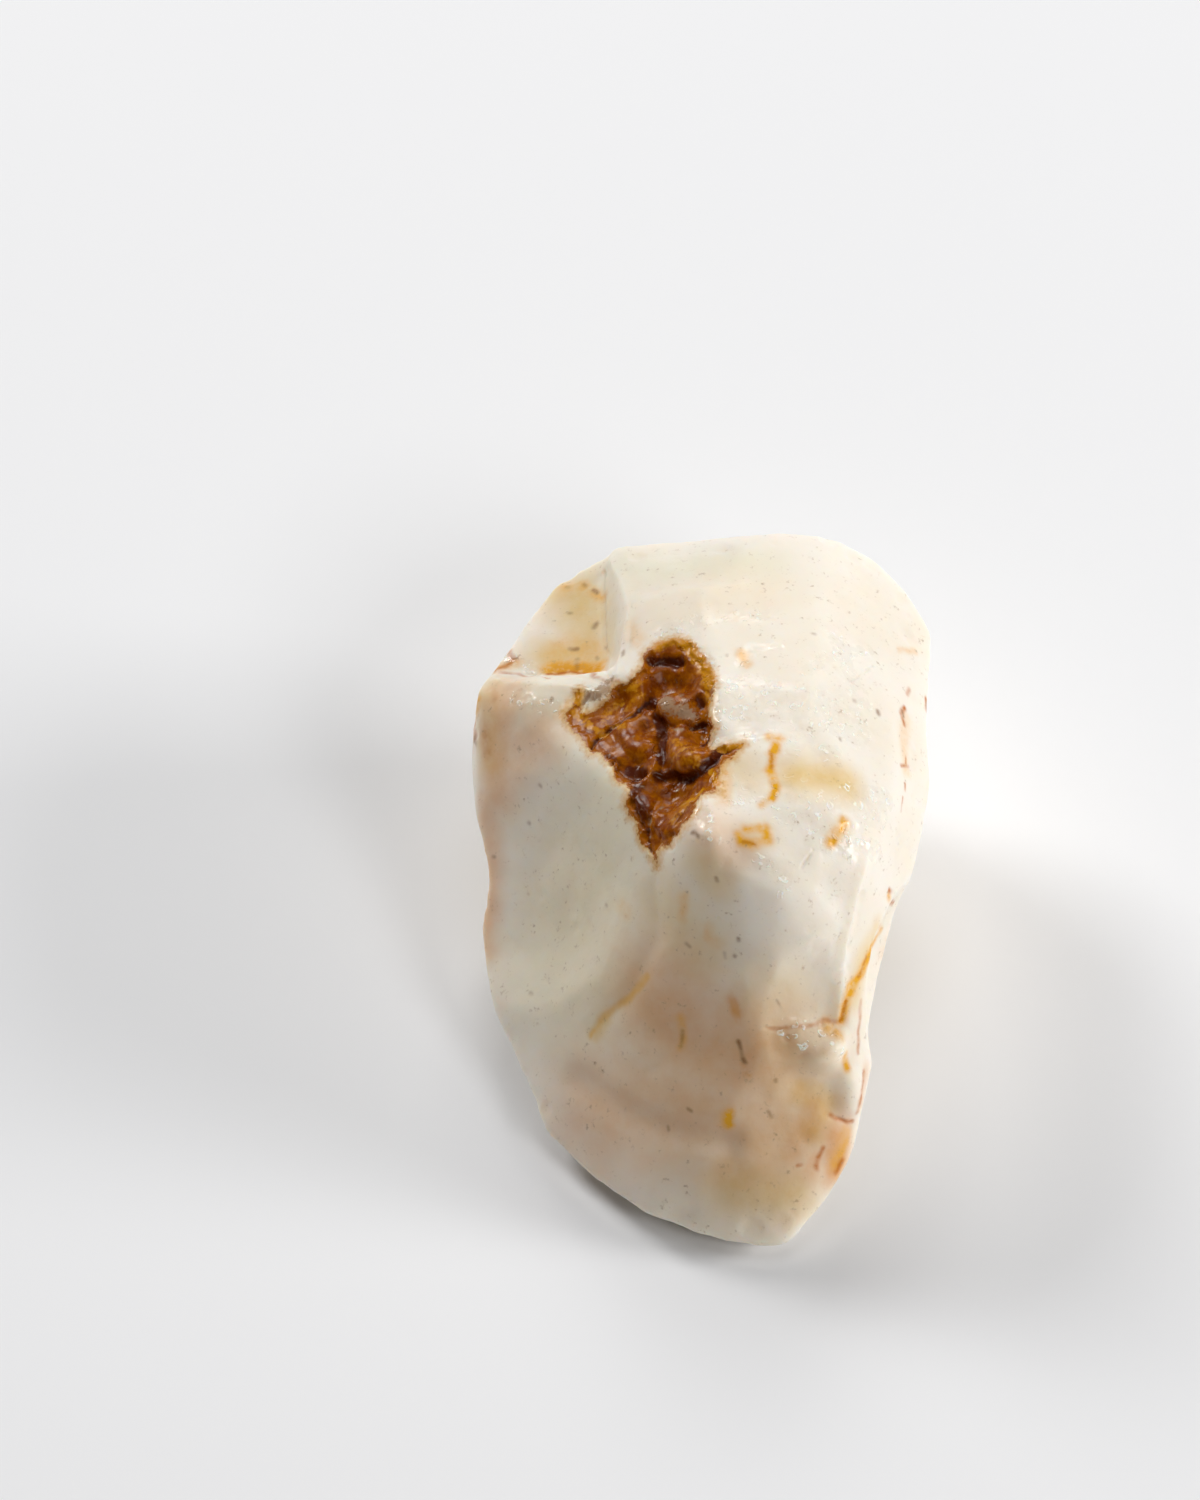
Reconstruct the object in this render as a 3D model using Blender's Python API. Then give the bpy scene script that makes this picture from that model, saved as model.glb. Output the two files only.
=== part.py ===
"""Rough common opal: one broken and slightly worn lump, lying on its flat underside.

The lump is modelled as it came about. Its outer corners give the block that broke out of the
rock, wear rounds the edges, flakes struck off leave shallow bowls, cracks leave steps and
grooves, and an iron-stained pit was eaten into the brow. The toe points to -Y, and the front
slope and the crown are the faces that show the stain. Lengths in the tables are millimetres,
and the solid is built in metres with its origin under the middle of its bounding box.
"""

import bmesh
import bpy
import numpy as np
from mathutils import Vector, noise
from mathutils.bvhtree import BVHTree

MM = 0.001

# Driving dimensions of the finished lump, in millimetres
LENGTH = 42.8
WIDTH = 28.6
HEIGHT = 22.3

NODE_NAME = "rough_opal"
FINE_GRID = 0.36
TRIANGLES = 9000
WEAR_SHARE = 0.5
CORNER_WEAR = 9
FLAKE_WEAR = 7
LAST_WEAR = 1
FLAT_WITHIN = 0.02

# Outer corners of the block, (x, y, z) in millimetres, region by region
CROWN_CORNERS = {
    "brow": (-0.6, -5.0, 22.4),
    "brow_right": (1.9, -7.2, 21.5),
    "ridge_high": (4.5, -8.2, 20.3),
    "ridge_middle": (7.2, -9.8, 17.4),
    "shoulder": (9.9, -5.2, 18.8),
    "shoulder_top": (8.4, -3.4, 20.9),
    "shoulder_back": (11.9, -0.2, 18.8),
    "crown_front": (7.2, -1.2, 22.2),
    "crown_middle": (0.6, 5.6, 22.7),
    "crown_right": (6.8, 6.6, 22.4),
    "crown_side": (11.8, 7.8, 18.9),
    "crown_back_left": (-4.3, 14.0, 20.6),
    "crown_back": (0.0, 14.8, 21.3),
    "crown_back_right": (7.4, 14.1, 20.8),
    "crown_corner": (11.0, 13.6, 18.6),
    "crest": (-6.0, 7.6, 20.0),
    "crest_left": (-9.6, 9.0, 18.1),
    "crest_back": (-8.4, 13.0, 18.3),
}
RIM_CORNERS = {
    "left_corner": (-14.6, 11.0, 15.9),
    "left_edge": (-14.9, 9.6, 12.6),
    "left_back": (-12.0, 15.6, 15.0),
    "back_left": (-9.7, 19.8, 16.4),
    "back_left_top": (-7.2, 21.6, 16.9),
    "back_middle_left": (-3.3, 21.0, 17.4),
    "back_middle": (1.8, 21.0, 18.2),
    "back_top": (4.9, 21.5, 18.7),
    "back_right": (8.2, 21.8, 18.2),
    "back_right_side": (11.1, 20.8, 17.0),
    "right_back": (13.4, 18.6, 16.0),
    "right_upper": (14.9, 15.8, 15.0),
    "right_middle": (15.0, 11.8, 14.5),
    "right_front": (14.5, 5.2, 15.0),
    "right_shoulder": (13.5, 0.1, 14.6),
}
SLOPE_CORNERS = {
    "right_waist": (11.3, -3.8, 12.6),
    "ridge_foot": (8.0, -12.0, 13.4),
    "right_knob": (9.2, -13.2, 9.7),
    "right_hem": (9.9, -15.0, 7.2),
    "right_hem_low": (9.2, -17.0, 4.5),
    "toe_side": (7.7, -19.2, 2.8),
    "toe_right": (5.5, -21.6, 1.5),
    "toe_left": (3.5, -21.8, 1.3),
    "toe_top": (7.2, -17.2, 6.9),
    "front_belly": (-0.6, -18.2, 5.8),
    "foot_front": (0.0, -21.0, 1.5),
    "foot_middle": (-3.6, -19.6, 1.6),
    "foot_left": (-7.4, -16.8, 1.8),
    "foot_far_left": (-10.2, -13.4, 2.2),
    "left_step": (-12.3, -8.1, 4.0),
    "left_foot": (-13.7, -5.5, 4.8),
    "left_bulge": (-14.3, -2.5, 5.6),
    "left_bulge_top": (-14.1, 0.4, 6.8),
    "left_low": (-14.2, 6.4, 9.6),
}
UNDERSIDE_CORNERS = {
    "rest_toe": (4.2, -17.6, -0.3),
    "rest_front": (-3.6, -14.6, -0.3),
    "rest_left_front": (-8.4, -8.4, -0.3),
    "rest_left": (-9.2, 1.4, -0.3),
    "rest_left_back": (-7.0, 9.4, -0.3),
    "rest_back": (-2.0, 13.0, -0.3),
    "rest_right_back": (5.4, 12.2, -0.3),
    "rest_right": (7.6, 5.4, -0.3),
    "rest_right_middle": (6.6, -3.2, -0.3),
    "rest_right_front": (6.6, -12.6, -0.3),
    "back_belly": (0.4, 20.2, 8.8),
    "back_belly_low": (3.6, 17.6, 3.6),
    "back_belly_right": (9.6, 18.6, 8.6),
    "back_belly_left": (-6.8, 18.4, 7.4),
    "back_belly_left_low": (-7.4, 14.6, 3.8),
    "right_belly": (13.6, 11.6, 8.6),
    "right_belly_low": (11.2, 9.4, 4.0),
    "right_belly_front": (11.8, 1.8, 6.6),
    "right_belly_waist": (9.6, -5.6, 3.6),
    "left_belly": (-13.0, 9.2, 7.0),
    "left_belly_low": (-11.2, 5.6, 3.0),
}

BLOCK_CORNERS = {**CROWN_CORNERS, **RIM_CORNERS, **SLOPE_CORNERS, **UNDERSIDE_CORNERS}

# Flakes struck off long ago: (x, y, z) of the middle, then the width and depth of the bowl
FLAKE_SCARS = {
    "left_front_flake": ((-8.6, -0.8, 10.8), 15.5, 1.2),
    "left_notch": ((-13.4, 3.4, 7.6), 7.0, 0.9),
    "right_waist_flake": ((10.9, -6.2, 10.0), 11.5, 1.9),
    "front_flake": ((0.6, -10.4, 13.6), 13.0, 0.4),
    "lower_front_flake": ((0.2, -12.6, 10.0), 10.0, 0.5),
    "crown_hollow": ((6.8, 0.5, 21.6), 6.2, 0.5),
    "back_flake": ((-2.5, 20.8, 12.5), 15.0, 0.9),
    "right_side_flake": ((14.2, 9.6, 11.6), 15.5, 0.95),
}
BOWL_UNEVEN_SPACING = 4.5
BOWL_UNEVEN_HEIGHT = 0.35
BOWL_REACH = 0.62  # how far from its middle a bowl may cut, as a share of its width
BOWL_EVEN_AT = 1.25  # how far out its unevenness has faded, as a share of its half width

# A younger flake above the toe, which ended on a crack and left a ledge along it
LEDGE_FLAKE = ((6.1, -12.2, 12.8), 10.0, 0.8)
LEDGE_POINT = (7.0, -12.7, 12.0)
LEDGE_OUTWARD = (0.06, -0.3, 0.95)

# The chip off the back left corner, which leaves the flat window and the riser beside it
WINDOW_CHIP = {
    "floor_left": (-15.4, 12.0, 15.5),
    "floor_front": (-5.9, 10.1, 17.9),
    "floor_back": (-6.3, 23.4, 16.1),
    "floor_back_left": (-15.4, 23.4, 14.8),
    "over_left": (-15.8, 11.2, 20.0),
    "over_front": (-5.0, 9.8, 21.0),
    "over_back": (-5.2, 23.4, 20.0),
    "over_back_left": (-15.8, 23.4, 20.0),
}

# The iron-stained pit in the brow: its outline seen from above, clockwise from its back end
PIT_OUTLINE = (
    (-1.8, 10.8), (-0.7, 10.5), (0.5, 8.5), (0.5, 3.4), (2.3, 2.5), (1.3, 0.6), (0.2, -1.4), (-1.9, -4.6),
    (-2.9, -5.4), (-3.8, -2.3), (-5.3, 1.0), (-6.7, 4.2), (-8.2, 6.7), (-8.1, 7.9), (-6.6, 7.9), (-5.4, 8.5),
    (-4.1, 8.6), (-3.4, 9.4), (-2.9, 10.5),
)
PIT_DEPTH = 0.75
PIT_SIDE = 1.1
PIT_UNEVEN_SPACING = 1.9
PIT_UNEVEN_SHARE = 1.5
PIT_LEAST_SHARE = 0.1
PIT_FACES_UP = 0.2  # the pit stays on faces that turn upwards at least this much

# Lumps left standing in the pit: (x, y, z) of the middle, then the width and height of the lump
PIT_LUMPS = {
    "lump_left": ((-3.7, 3.3, 19.4), 2.6, 0.5),
    "lump_right": ((-0.8, 1.3, 21.2), 2.4, 0.5),
    "lump_back": ((-1.8, 6.3, 20.6), 1.9, 0.4),
    "lump_middle": ((-1.3, 4.2, 20.7), 1.6, 0.35),
    "lump_far_left": ((-6.2, 5.8, 18.8), 2.0, 0.35),
}

# Low swellings: (x, y, z) of the middle, then the width and height of the swelling
SWELLINGS = {
    "brow_peak": ((0.3, -4.7, 21.8), 3.2, 0.45),
    "crest_bulge": ((-10.4, 9.1, 16.6), 5.4, 0.5),
    "ledge_bump": ((7.1, -13.5, 11.0), 4.4, 0.5),
    "right_knob": ((8.9, -14.2, 8.8), 3.4, 0.35),
    "foot_lip": ((-3.6, -18.0, 3.4), 7.0, 0.35),
}

# Grooves and a worn-down ridge: the line they follow, their width and their depth
GROOVES = {
    "blunt_ridge": (((2.2, -7.0, 21.0), (4.6, -8.2, 19.4), (7.0, -9.8, 16.6)), 5.0, 0.4),
    "foot_groove": (((-7.8, -11.4, 5.6), (-3.4, -14.4, 5.8), (1.6, -16.0, 6.4)), 3.0, 0.4),
    "flake_edge": (
        ((-2.6, -5.2, 17.4), (-2.2, -7.4, 15.2), (-4.0, -9.0, 11.2), (-6.4, -9.4, 7.6)),
        1.5,
        0.22,
    ),
    "knob_crack": (((7.6, -15.4, 8.0), (9.2, -15.8, 7.0)), 1.1, 0.3),
}

# Uneven surface of a broken, worn stone: bump spacing and height
UNEVEN_SPACING = 5.2
UNEVEN_HEIGHT = 0.2
RIPPLE_SPACING = 1.9
RIPPLE_HEIGHT = 0.07

MILKY_OPAL = (0.86, 0.84, 0.77, 1.0)


def clear_scene():
    for thing in list(bpy.data.objects):
        bpy.data.objects.remove(thing, do_unlink=True)


def block_from_corners(name, corners):
    """The closed block whose corners are the named points, in millimetres."""
    form = bmesh.new()
    for corner in corners.values():
        form.verts.new(corner)
    hull = bmesh.ops.convex_hull(form, input=form.verts)
    inside = [v for v in hull["geom_interior"] if isinstance(v, bmesh.types.BMVert)]
    bmesh.ops.delete(form, geom=inside, context="VERTS")
    bmesh.ops.recalc_face_normals(form, faces=form.faces)
    mesh = bpy.data.meshes.new(name)
    form.to_mesh(mesh)
    form.free()
    block = bpy.data.objects.new(name, mesh)
    bpy.context.scene.collection.objects.link(block)
    return block


def break_off(thing, chip):
    """Takes a chip off, and leaves its flat floor and its riser."""
    cut = thing.modifiers.new("chip", "BOOLEAN")
    cut.operation = "DIFFERENCE"
    cut.solver = "EXACT"
    cut.object = chip
    apply_modifiers(thing)
    bpy.data.objects.remove(chip, do_unlink=True)


def apply_modifiers(thing):
    """Turns the object's modifiers into its own mesh."""
    graph = bpy.context.evaluated_depsgraph_get()
    shaped = bpy.data.meshes.new_from_object(thing.evaluated_get(graph))
    thing.modifiers.clear()
    old = thing.data
    thing.data = shaped
    bpy.data.meshes.remove(old)


def regrid(thing, spacing):
    """Covers the form with an even grid of small faces."""
    remesh = thing.modifiers.new("even_grid", "REMESH")
    remesh.mode = "VOXEL"
    remesh.voxel_size = spacing
    apply_modifiers(thing)


def wear(thing, passes):
    """Rounds the edges, as handling and weather do."""
    smooth = thing.modifiers.new("wear", "SMOOTH")
    smooth.factor = WEAR_SHARE
    smooth.iterations = passes
    apply_modifiers(thing)


class Surface:
    """The points and outward directions of a mesh, for strokes that move them."""

    def __init__(self, mesh):
        self.mesh = mesh
        self.read()

    def read(self):
        count = len(self.mesh.vertices)
        self.points = np.empty(count * 3)
        self.mesh.vertices.foreach_get("co", self.points)
        self.points = self.points.reshape(-1, 3)
        self.outward = np.empty(count * 3)
        self.mesh.vertices.foreach_get("normal", self.outward)
        self.outward = self.outward.reshape(-1, 3)

    def write(self):
        self.mesh.vertices.foreach_set("co", self.points.astype(np.float32).ravel())
        self.mesh.update()
        self.read()

    def foot_of(self, point, reach):
        """The place on the surface nearest to a point, and the mean outward direction about it."""
        tree = BVHTree.FromPolygons(
            [Vector(p) for p in self.points], [tuple(f.vertices) for f in self.mesh.polygons]
        )
        spot = np.array(tree.find_nearest(Vector(point))[0])
        near = np.linalg.norm(self.points - spot, axis=1) < reach
        direction = self.outward[near].mean(axis=0)
        return spot, direction / np.linalg.norm(direction)


def smooth_noise(points, spacing, layer):
    """A smooth uneven pattern from -1 to 1, with bumps at about the given spacing."""
    return np.array([noise.noise(Vector(p) / spacing + Vector((0, 0, layer))) for p in points])


def strike_flake(surface, middle, width, depth, kept=None):
    """Hollows a shallow uneven bowl with a crisp rim, apart from the points that are kept."""
    spot, out = surface.foot_of(middle, width / 3)
    radius = (width * width / 4 + depth * depth) / (2 * depth)
    centre = spot + out * (radius - depth)
    ray = surface.points - centre
    distance = np.linalg.norm(ray, axis=1)
    aside = surface.points - spot
    aside -= (aside @ out)[:, None] * out
    aside = np.linalg.norm(aside, axis=1)
    uneven = np.clip(BOWL_EVEN_AT - aside / (width / 2), 0, 1) * BOWL_UNEVEN_HEIGHT
    reach = radius + uneven * smooth_noise(surface.points, BOWL_UNEVEN_SPACING, depth)
    hit = (distance < reach) & (aside < width * BOWL_REACH)
    if kept is not None:
        hit &= ~kept
    surface.points[hit] = centre + ray[hit] * (reach / distance)[hit, None]
    surface.write()


def eat_pit(surface):
    """Eats the pit into the brow: steep at its outline, deep and uneven within."""
    plan = surface.points[:, :2]
    outline = np.array(PIT_OUTLINE + PIT_OUTLINE[:1])
    within = np.zeros(len(plan), bool)
    for (x0, y0), (x1, y1) in zip(outline[:-1], outline[1:]):
        crosses = (plan[:, 1] < y0) != (plan[:, 1] < y1)
        at = x0 + (plan[:, 1] - y0) * (x1 - x0) / (y1 - y0)
        within ^= crosses & (plan[:, 0] < at)
    within &= surface.outward[:, 2] > PIT_FACES_UP
    share = np.clip(distance_to_line(plan, outline) / PIT_SIDE, 0, 1) * within
    uneven = 1 + PIT_UNEVEN_SHARE * smooth_noise(surface.points, PIT_UNEVEN_SPACING, 3.0)
    fall = PIT_DEPTH * share * share * (3 - 2 * share) * np.clip(uneven, PIT_LEAST_SHARE, None)
    surface.points -= fall[:, None] * surface.outward
    surface.write()


def raise_swelling(surface, middle, width, height):
    """Raises a soft round swelling."""
    spot, out = surface.foot_of(middle, width / 3)
    share = np.linalg.norm(surface.points - spot, axis=1) / (width / 2)
    rise = height * np.clip(1 - share * share, 0, None) ** 2
    surface.points += rise[:, None] * out
    surface.write()


def distance_to_line(points, line):
    """The distance of each point from a line of straight runs."""
    nearest = np.full(len(points), np.inf)
    for start, end in zip(line[:-1], line[1:]):
        run = end - start
        share = np.clip((points - start) @ run / (run @ run), 0, 1)
        away = points - (start + share[:, None] * run)
        nearest = np.minimum(nearest, np.linalg.norm(away, axis=1))
    return nearest


def cut_groove(surface, line, width, depth):
    """Presses a groove with soft sides along a line."""
    line = [surface.foot_of(point, 1.0)[0] for point in line]
    share = distance_to_line(surface.points, line) / (width / 2)
    fall = depth * np.clip(1 - share * share, 0, None) ** 2
    surface.points -= fall[:, None] * surface.outward
    surface.write()


def roughen(surface, spacing, height, layer):
    """Lifts and lowers the surface by a smooth uneven pattern."""
    lift = height * smooth_noise(surface.points, spacing, layer)
    surface.points += lift[:, None] * surface.outward
    surface.write()


def fit_to_size(surface):
    """Scales the worn lump to its driving dimensions, flattens its rest and centres it over the origin."""
    points = surface.points
    low, high = points.min(axis=0), points.max(axis=0)
    middle = (low + high) / 2
    points[:, 0] = (points[:, 0] - middle[0]) * WIDTH / (high[0] - low[0])
    points[:, 1] = (points[:, 1] - middle[1]) * LENGTH / (high[1] - low[1])
    points[:, 2] *= HEIGHT / high[2]
    points[points[:, 2] < FLAT_WITHIN, 2] = 0
    surface.write()


def thin_out(thing, triangles):
    """Keeps the small faces where the surface bends, and joins them where it is flat."""
    count = sum(len(face.vertices) - 2 for face in thing.data.polygons)
    decimate = thing.modifiers.new("thin_out", "DECIMATE")
    decimate.ratio = triangles / count
    decimate.use_collapse_triangulate = True
    apply_modifiers(thing)


def strike_flakes(thing):
    """The old flake scars, which wear has softened since."""
    surface = Surface(thing.data)
    for middle, width, depth in FLAKE_SCARS.values():
        strike_flake(surface, middle, width, depth)


def mark_and_pit(thing):
    """The later marks: the ledge, the pit in the brow, swellings, grooves and the uneven skin."""
    surface = Surface(thing.data)
    below_ledge = (surface.points - np.array(LEDGE_POINT)) @ np.array(LEDGE_OUTWARD) < 0
    strike_flake(surface, *LEDGE_FLAKE, below_ledge)
    eat_pit(surface)
    for middle, width, height in {**PIT_LUMPS, **SWELLINGS}.values():
        raise_swelling(surface, middle, width, height)
    for line, width, depth in GROOVES.values():
        cut_groove(surface, line, width, depth)
    roughen(surface, UNEVEN_SPACING, UNEVEN_HEIGHT, layer=0.0)
    roughen(surface, RIPPLE_SPACING, RIPPLE_HEIGHT, layer=7.0)


def milky_opal():
    material = bpy.data.materials.new("milky_opal")
    material.use_nodes = True
    shader = material.node_tree.nodes["Principled BSDF"]
    shader.inputs["Base Color"].default_value = MILKY_OPAL
    shader.inputs["Roughness"].default_value = 0.25
    shader.inputs["Metallic"].default_value = 0.0
    shader.inputs["IOR"].default_value = 1.45
    return material


def build():
    clear_scene()
    opal = block_from_corners(NODE_NAME, BLOCK_CORNERS)
    break_off(opal, block_from_corners("window_chip", WINDOW_CHIP))
    regrid(opal, FINE_GRID)
    wear(opal, CORNER_WEAR)
    strike_flakes(opal)
    wear(opal, FLAKE_WEAR)
    mark_and_pit(opal)
    regrid(opal, FINE_GRID)
    wear(opal, LAST_WEAR)
    fit_to_size(Surface(opal.data))
    thin_out(opal, TRIANGLES)
    fit_to_size(Surface(opal.data))
    opal.data.transform(((MM, 0, 0, 0), (0, MM, 0, 0), (0, 0, MM, 0), (0, 0, 0, 1)))
    opal.data.shade_smooth()
    opal.data.materials.append(milky_opal())


build()
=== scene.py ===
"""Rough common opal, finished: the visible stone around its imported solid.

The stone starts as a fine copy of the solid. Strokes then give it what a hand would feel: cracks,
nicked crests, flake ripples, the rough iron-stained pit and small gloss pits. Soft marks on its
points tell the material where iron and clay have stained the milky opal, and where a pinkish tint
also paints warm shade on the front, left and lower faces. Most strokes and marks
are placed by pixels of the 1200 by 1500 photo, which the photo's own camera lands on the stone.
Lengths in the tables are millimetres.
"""

import math

import bmesh
import bpy
import numpy as np
from mathutils import Matrix, Vector, noise
from mathutils.bvhtree import BVHTree


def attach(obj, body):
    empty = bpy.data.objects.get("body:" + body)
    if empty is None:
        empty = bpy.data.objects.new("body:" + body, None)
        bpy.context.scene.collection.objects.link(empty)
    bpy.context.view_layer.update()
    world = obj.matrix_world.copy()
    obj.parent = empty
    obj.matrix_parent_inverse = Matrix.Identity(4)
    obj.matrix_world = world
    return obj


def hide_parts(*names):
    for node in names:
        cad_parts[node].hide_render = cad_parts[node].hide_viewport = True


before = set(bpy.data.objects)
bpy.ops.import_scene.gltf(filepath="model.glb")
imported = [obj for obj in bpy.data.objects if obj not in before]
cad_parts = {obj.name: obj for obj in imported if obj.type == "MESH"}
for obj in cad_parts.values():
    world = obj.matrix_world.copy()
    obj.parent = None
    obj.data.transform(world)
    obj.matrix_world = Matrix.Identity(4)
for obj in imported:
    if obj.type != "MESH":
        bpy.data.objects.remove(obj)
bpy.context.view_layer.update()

bl_info = {
    "name": "Rough opal",
    "version": (1, 0, 0),
    "blender": (4, 5, 0),
    "location": "3D View > Sidebar > Rough opal",
    "description": "Finishes a lump of rough milky opal around its packed solid",
    "category": "Add Mesh",
}

MM = 0.001
NODE = "rough_opal"
BODY = "root"
SEED = 27
STONE_MIDDLE = Vector((0, 0, 0.01))

# The photo's camera: its frame and scale, how far it looks down, and its lens
PHOTO_WIDTH, PHOTO_HEIGHT = 1200, 1500
PIXELS_PER_MM = 16.0
ORIGIN_PIXEL = (701.5, 979.0)
LOOKS_DOWN = math.radians(53)
SENSOR_MM = 36.0
LENS_MM = 336.0
FOCAL_PIXELS = LENS_MM / SENSOR_MM * PHOTO_HEIGHT
CAMERA_DISTANCE = FOCAL_PIXELS / PIXELS_PER_MM
MIDDLE_PIXEL = (700.0, 850.0)
DRAW_IN_STEPS = 30
DRAW_IN_SHARE = 0.004

# How the strokes wander and spread, in millimetres unless named a share
WAVE_SPACING = 1.6
PIT_REACH, GNAW, GNAW_SPACING, RIM_RUN = 0.8, 0.4, 0.7, 0.3
PIT_WANDER, LUMP_SPREAD_SHARE, GROOVE_SPREAD_SHARE, PIT_ROUGHNESS = 0.2, 1.25, 1.5, 0.012
CRACK_WANDER, CRACK_WANDER_SPACING = 0.12, 0.5
RIPPLE_WANDER, RIPPLE_WANDER_SPACING = 0.35, 4.0
NICK_SCATTER, SMALLEST_NICK_SHARE = 0.25, 0.35
PATCH_SPREAD_SHARE, CHIPPED_EVERYWHERE = 1.8, 0.012
STAIN_WANDER, STAIN_WANDER_SPACING = 0.16, 0.9
FINE_MARGIN, FINE_WEIGHT, FINE_PIT_REACH, WIDEST_FINE_MARK = 0.25, 0.15, 0.6, 0.4
FARTHEST_INSIDE, HIDDEN_FROM_SIGHT = 3.0, -9.0

# The iron-stained pit, in photo pixels, clockwise from its back end
PIT_EDGE = (
    (653, 648), (666, 642), (679, 640), (689, 643), (698, 653), (706, 663), (713, 675), (714, 684), (710, 698),
    (709, 715), (714, 728), (708, 743), (710, 752), (719, 746), (736, 744), (744, 743), (734, 756), (723, 764),
    (719, 774), (716, 784), (719, 791), (706, 792), (698, 799), (691, 816), (684, 824), (674, 839), (668, 844),
    (661, 846), (657, 852), (657, 866), (652, 852), (646, 847), (641, 844), (638, 822), (631, 816), (625, 806),
    (630, 791), (626, 784), (615, 779), (614, 766), (605, 759), (600, 753), (588, 751), (585, 740), (575, 731),
    (567, 722), (566, 713), (575, 703), (577, 693), (580, 690), (581, 713), (590, 714), (600, 707), (611, 699),
    (613, 686), (628, 685), (638, 673), (645, 663), (643, 655),
)

# Relief in the pit: lumps that stand up and grooves between them, as pixels, half width and height
PIT_LUMPS = (
    (((668, 703), (689, 711)), 1.15, 0.45),
    (((678, 742), (688, 756)), 1.3, 0.6),
    (((626, 732), (646, 754)), 1.35, 0.45),
    (((598, 724), (622, 704), (640, 690)), 0.7, 0.2),
    (((690, 790), (668, 824)), 0.9, 0.2),
    (((588, 700), (604, 691)), 0.6, 0.12),
)
PIT_GROOVES = (
    (((590, 746), (612, 729), (634, 714), (650, 702)), 0.28, 0.28),
    (((650, 702), (659, 722), (664, 745), (664, 765)), 0.45, 0.3),
    (((614, 764), (640, 774), (664, 778), (690, 779), (706, 766), (724, 752)), 0.5, 0.32),
    (((652, 664), (666, 662), (679, 664)), 0.45, 0.35),
    (((672, 727), (688, 729), (702, 725), (708, 736)), 0.26, 0.22),
    (((698, 700), (703, 706)), 0.35, 0.25),
    (((604, 685), (606, 696)), 0.26, 0.2),
    (((672, 786), (652, 808), (645, 834), (652, 862)), 0.2, 0.16),
    (((686, 786), (666, 812), (658, 838)), 0.12, 0.1),
    (((696, 792), (680, 818), (668, 840)), 0.12, 0.1),
    (((632, 790), (634, 812), (642, 832)), 0.2, 0.12),
)

# Soft swells and hollows of the skin: pixels of a line along each, half width and height
SWELLS = {
    "bump": (((800, 1042), (830, 1050)), 1.0, 0.55),
    "below_bump": (((806, 1094), (790, 1124)), 1.9, -0.45),
    "ridge": (((770, 886), (800, 925)), 1.5, 0.3),
    "knob": (((851, 1084), (852, 1106)), 0.7, 0.25),
    "brow_roll": (((724, 744), (760, 750), (786, 742)), 0.9, 0.16),
    "crown_roll": (((664, 604), (700, 598), (740, 592)), 1.2, 0.12),
    "peak_roll": (((700, 806), (740, 822), (770, 846)), 1.1, 0.14),
}

# Cracks: the pixels they run through, then their width, depth
CRACKS = {
    "window_sill": (((486, 668), (510, 673), (534, 674), (549, 678), (571, 676), (589, 678), (608, 683), (618, 677)),
                    0.4, 0.08),
    "ledge": (((766, 1028), (778, 1030), (795, 1027), (814, 1025), (824, 1021), (838, 1021)), 0.34, 0.06),
    "knob": (((827, 1114), (837, 1117), (846, 1123), (853, 1121)), 0.34, 0.06),
    "knob_side": (((863, 1074), (862, 1090), (858, 1108)), 0.34, 0.1),
    "strip": (((890, 904), (879, 937), (871, 947), (862, 969), (850, 988), (843, 1008), (841, 1020)), 0.5, 0.06),
    "facet_edge": (((578, 716), (583, 704), (590, 694)), 0.34, 0.12),
    "riser_foot": (((603, 571), (604, 610), (606, 650), (608, 676)), 0.5, 0.12),
    "scratch": (((850, 682), (862, 674), (873, 666)), 0.2, 0.08),
    "slope_line": (((813, 850), (808, 858), (801, 868)), 0.25, 0.1),
}

# Crests that stay crisp: their pixels, then the width and height of the rise
CRESTS = {
    "slope_edge": (((866, 862), (856, 892), (848, 928), (842, 966), (837, 1014)), 1.5, 0.2),
    "riser_top": (((611, 560), (622, 580), (629, 609), (622, 650), (617, 676)), 1.1, 0.14),
    "sill_lip": (((492, 680), (530, 684), (566, 686), (600, 692)), 1.3, 0.16),
    "crown_back_lip": (((634, 604), (657, 597), (700, 590), (745, 586)), 1.4, 0.1),
    "brow_lip": (((716, 745), (745, 742), (772, 738)), 1.1, 0.12),
}

# Ripples of a struck flake: the pixel where it was struck, its reach, the ripple spacing and height
RIPPLES = {
    "left_scar": ((548, 742), 15.0, 2.3, 0.008),
    "front_scar": ((742, 862), 16.0, 2.8, 0.008),
}

# Lines that small chips have nicked: their pixels, how many chips, then the widest chip and the deepest
NICKED_LINES = {
    "brow": (((640, 832), (668, 842), (700, 838), (731, 862), (773, 890)), 9, 1.6, 0.14),
    "ridge": (((773, 890), (804, 921), (822, 948), (836, 1000)), 6, 1.3, 0.08),
    "slope_edge": (((866, 862), (848, 928), (837, 1014)), 8, 1.1, 0.1),
    "right_rim": (((905, 600), (917, 660), (914, 740), (908, 810), (890, 862)), 12, 1.5, 0.12),
    "back_rim": (((567, 575), (640, 556), (731, 545), (825, 541), (872, 562)), 12, 1.7, 0.14),
    "left_rim": (((557, 600), (520, 645), (486, 685), (477, 745), (492, 830)), 12, 1.6, 0.14),
    "foot_rim": (((490, 975), (515, 1050), (550, 1128), (650, 1205), (765, 1235), (822, 1190)), 14, 1.8, 0.12),
    "ledge": (((786, 1034), (806, 1034), (832, 1028)), 9, 0.9, 0.12),
}

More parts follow.
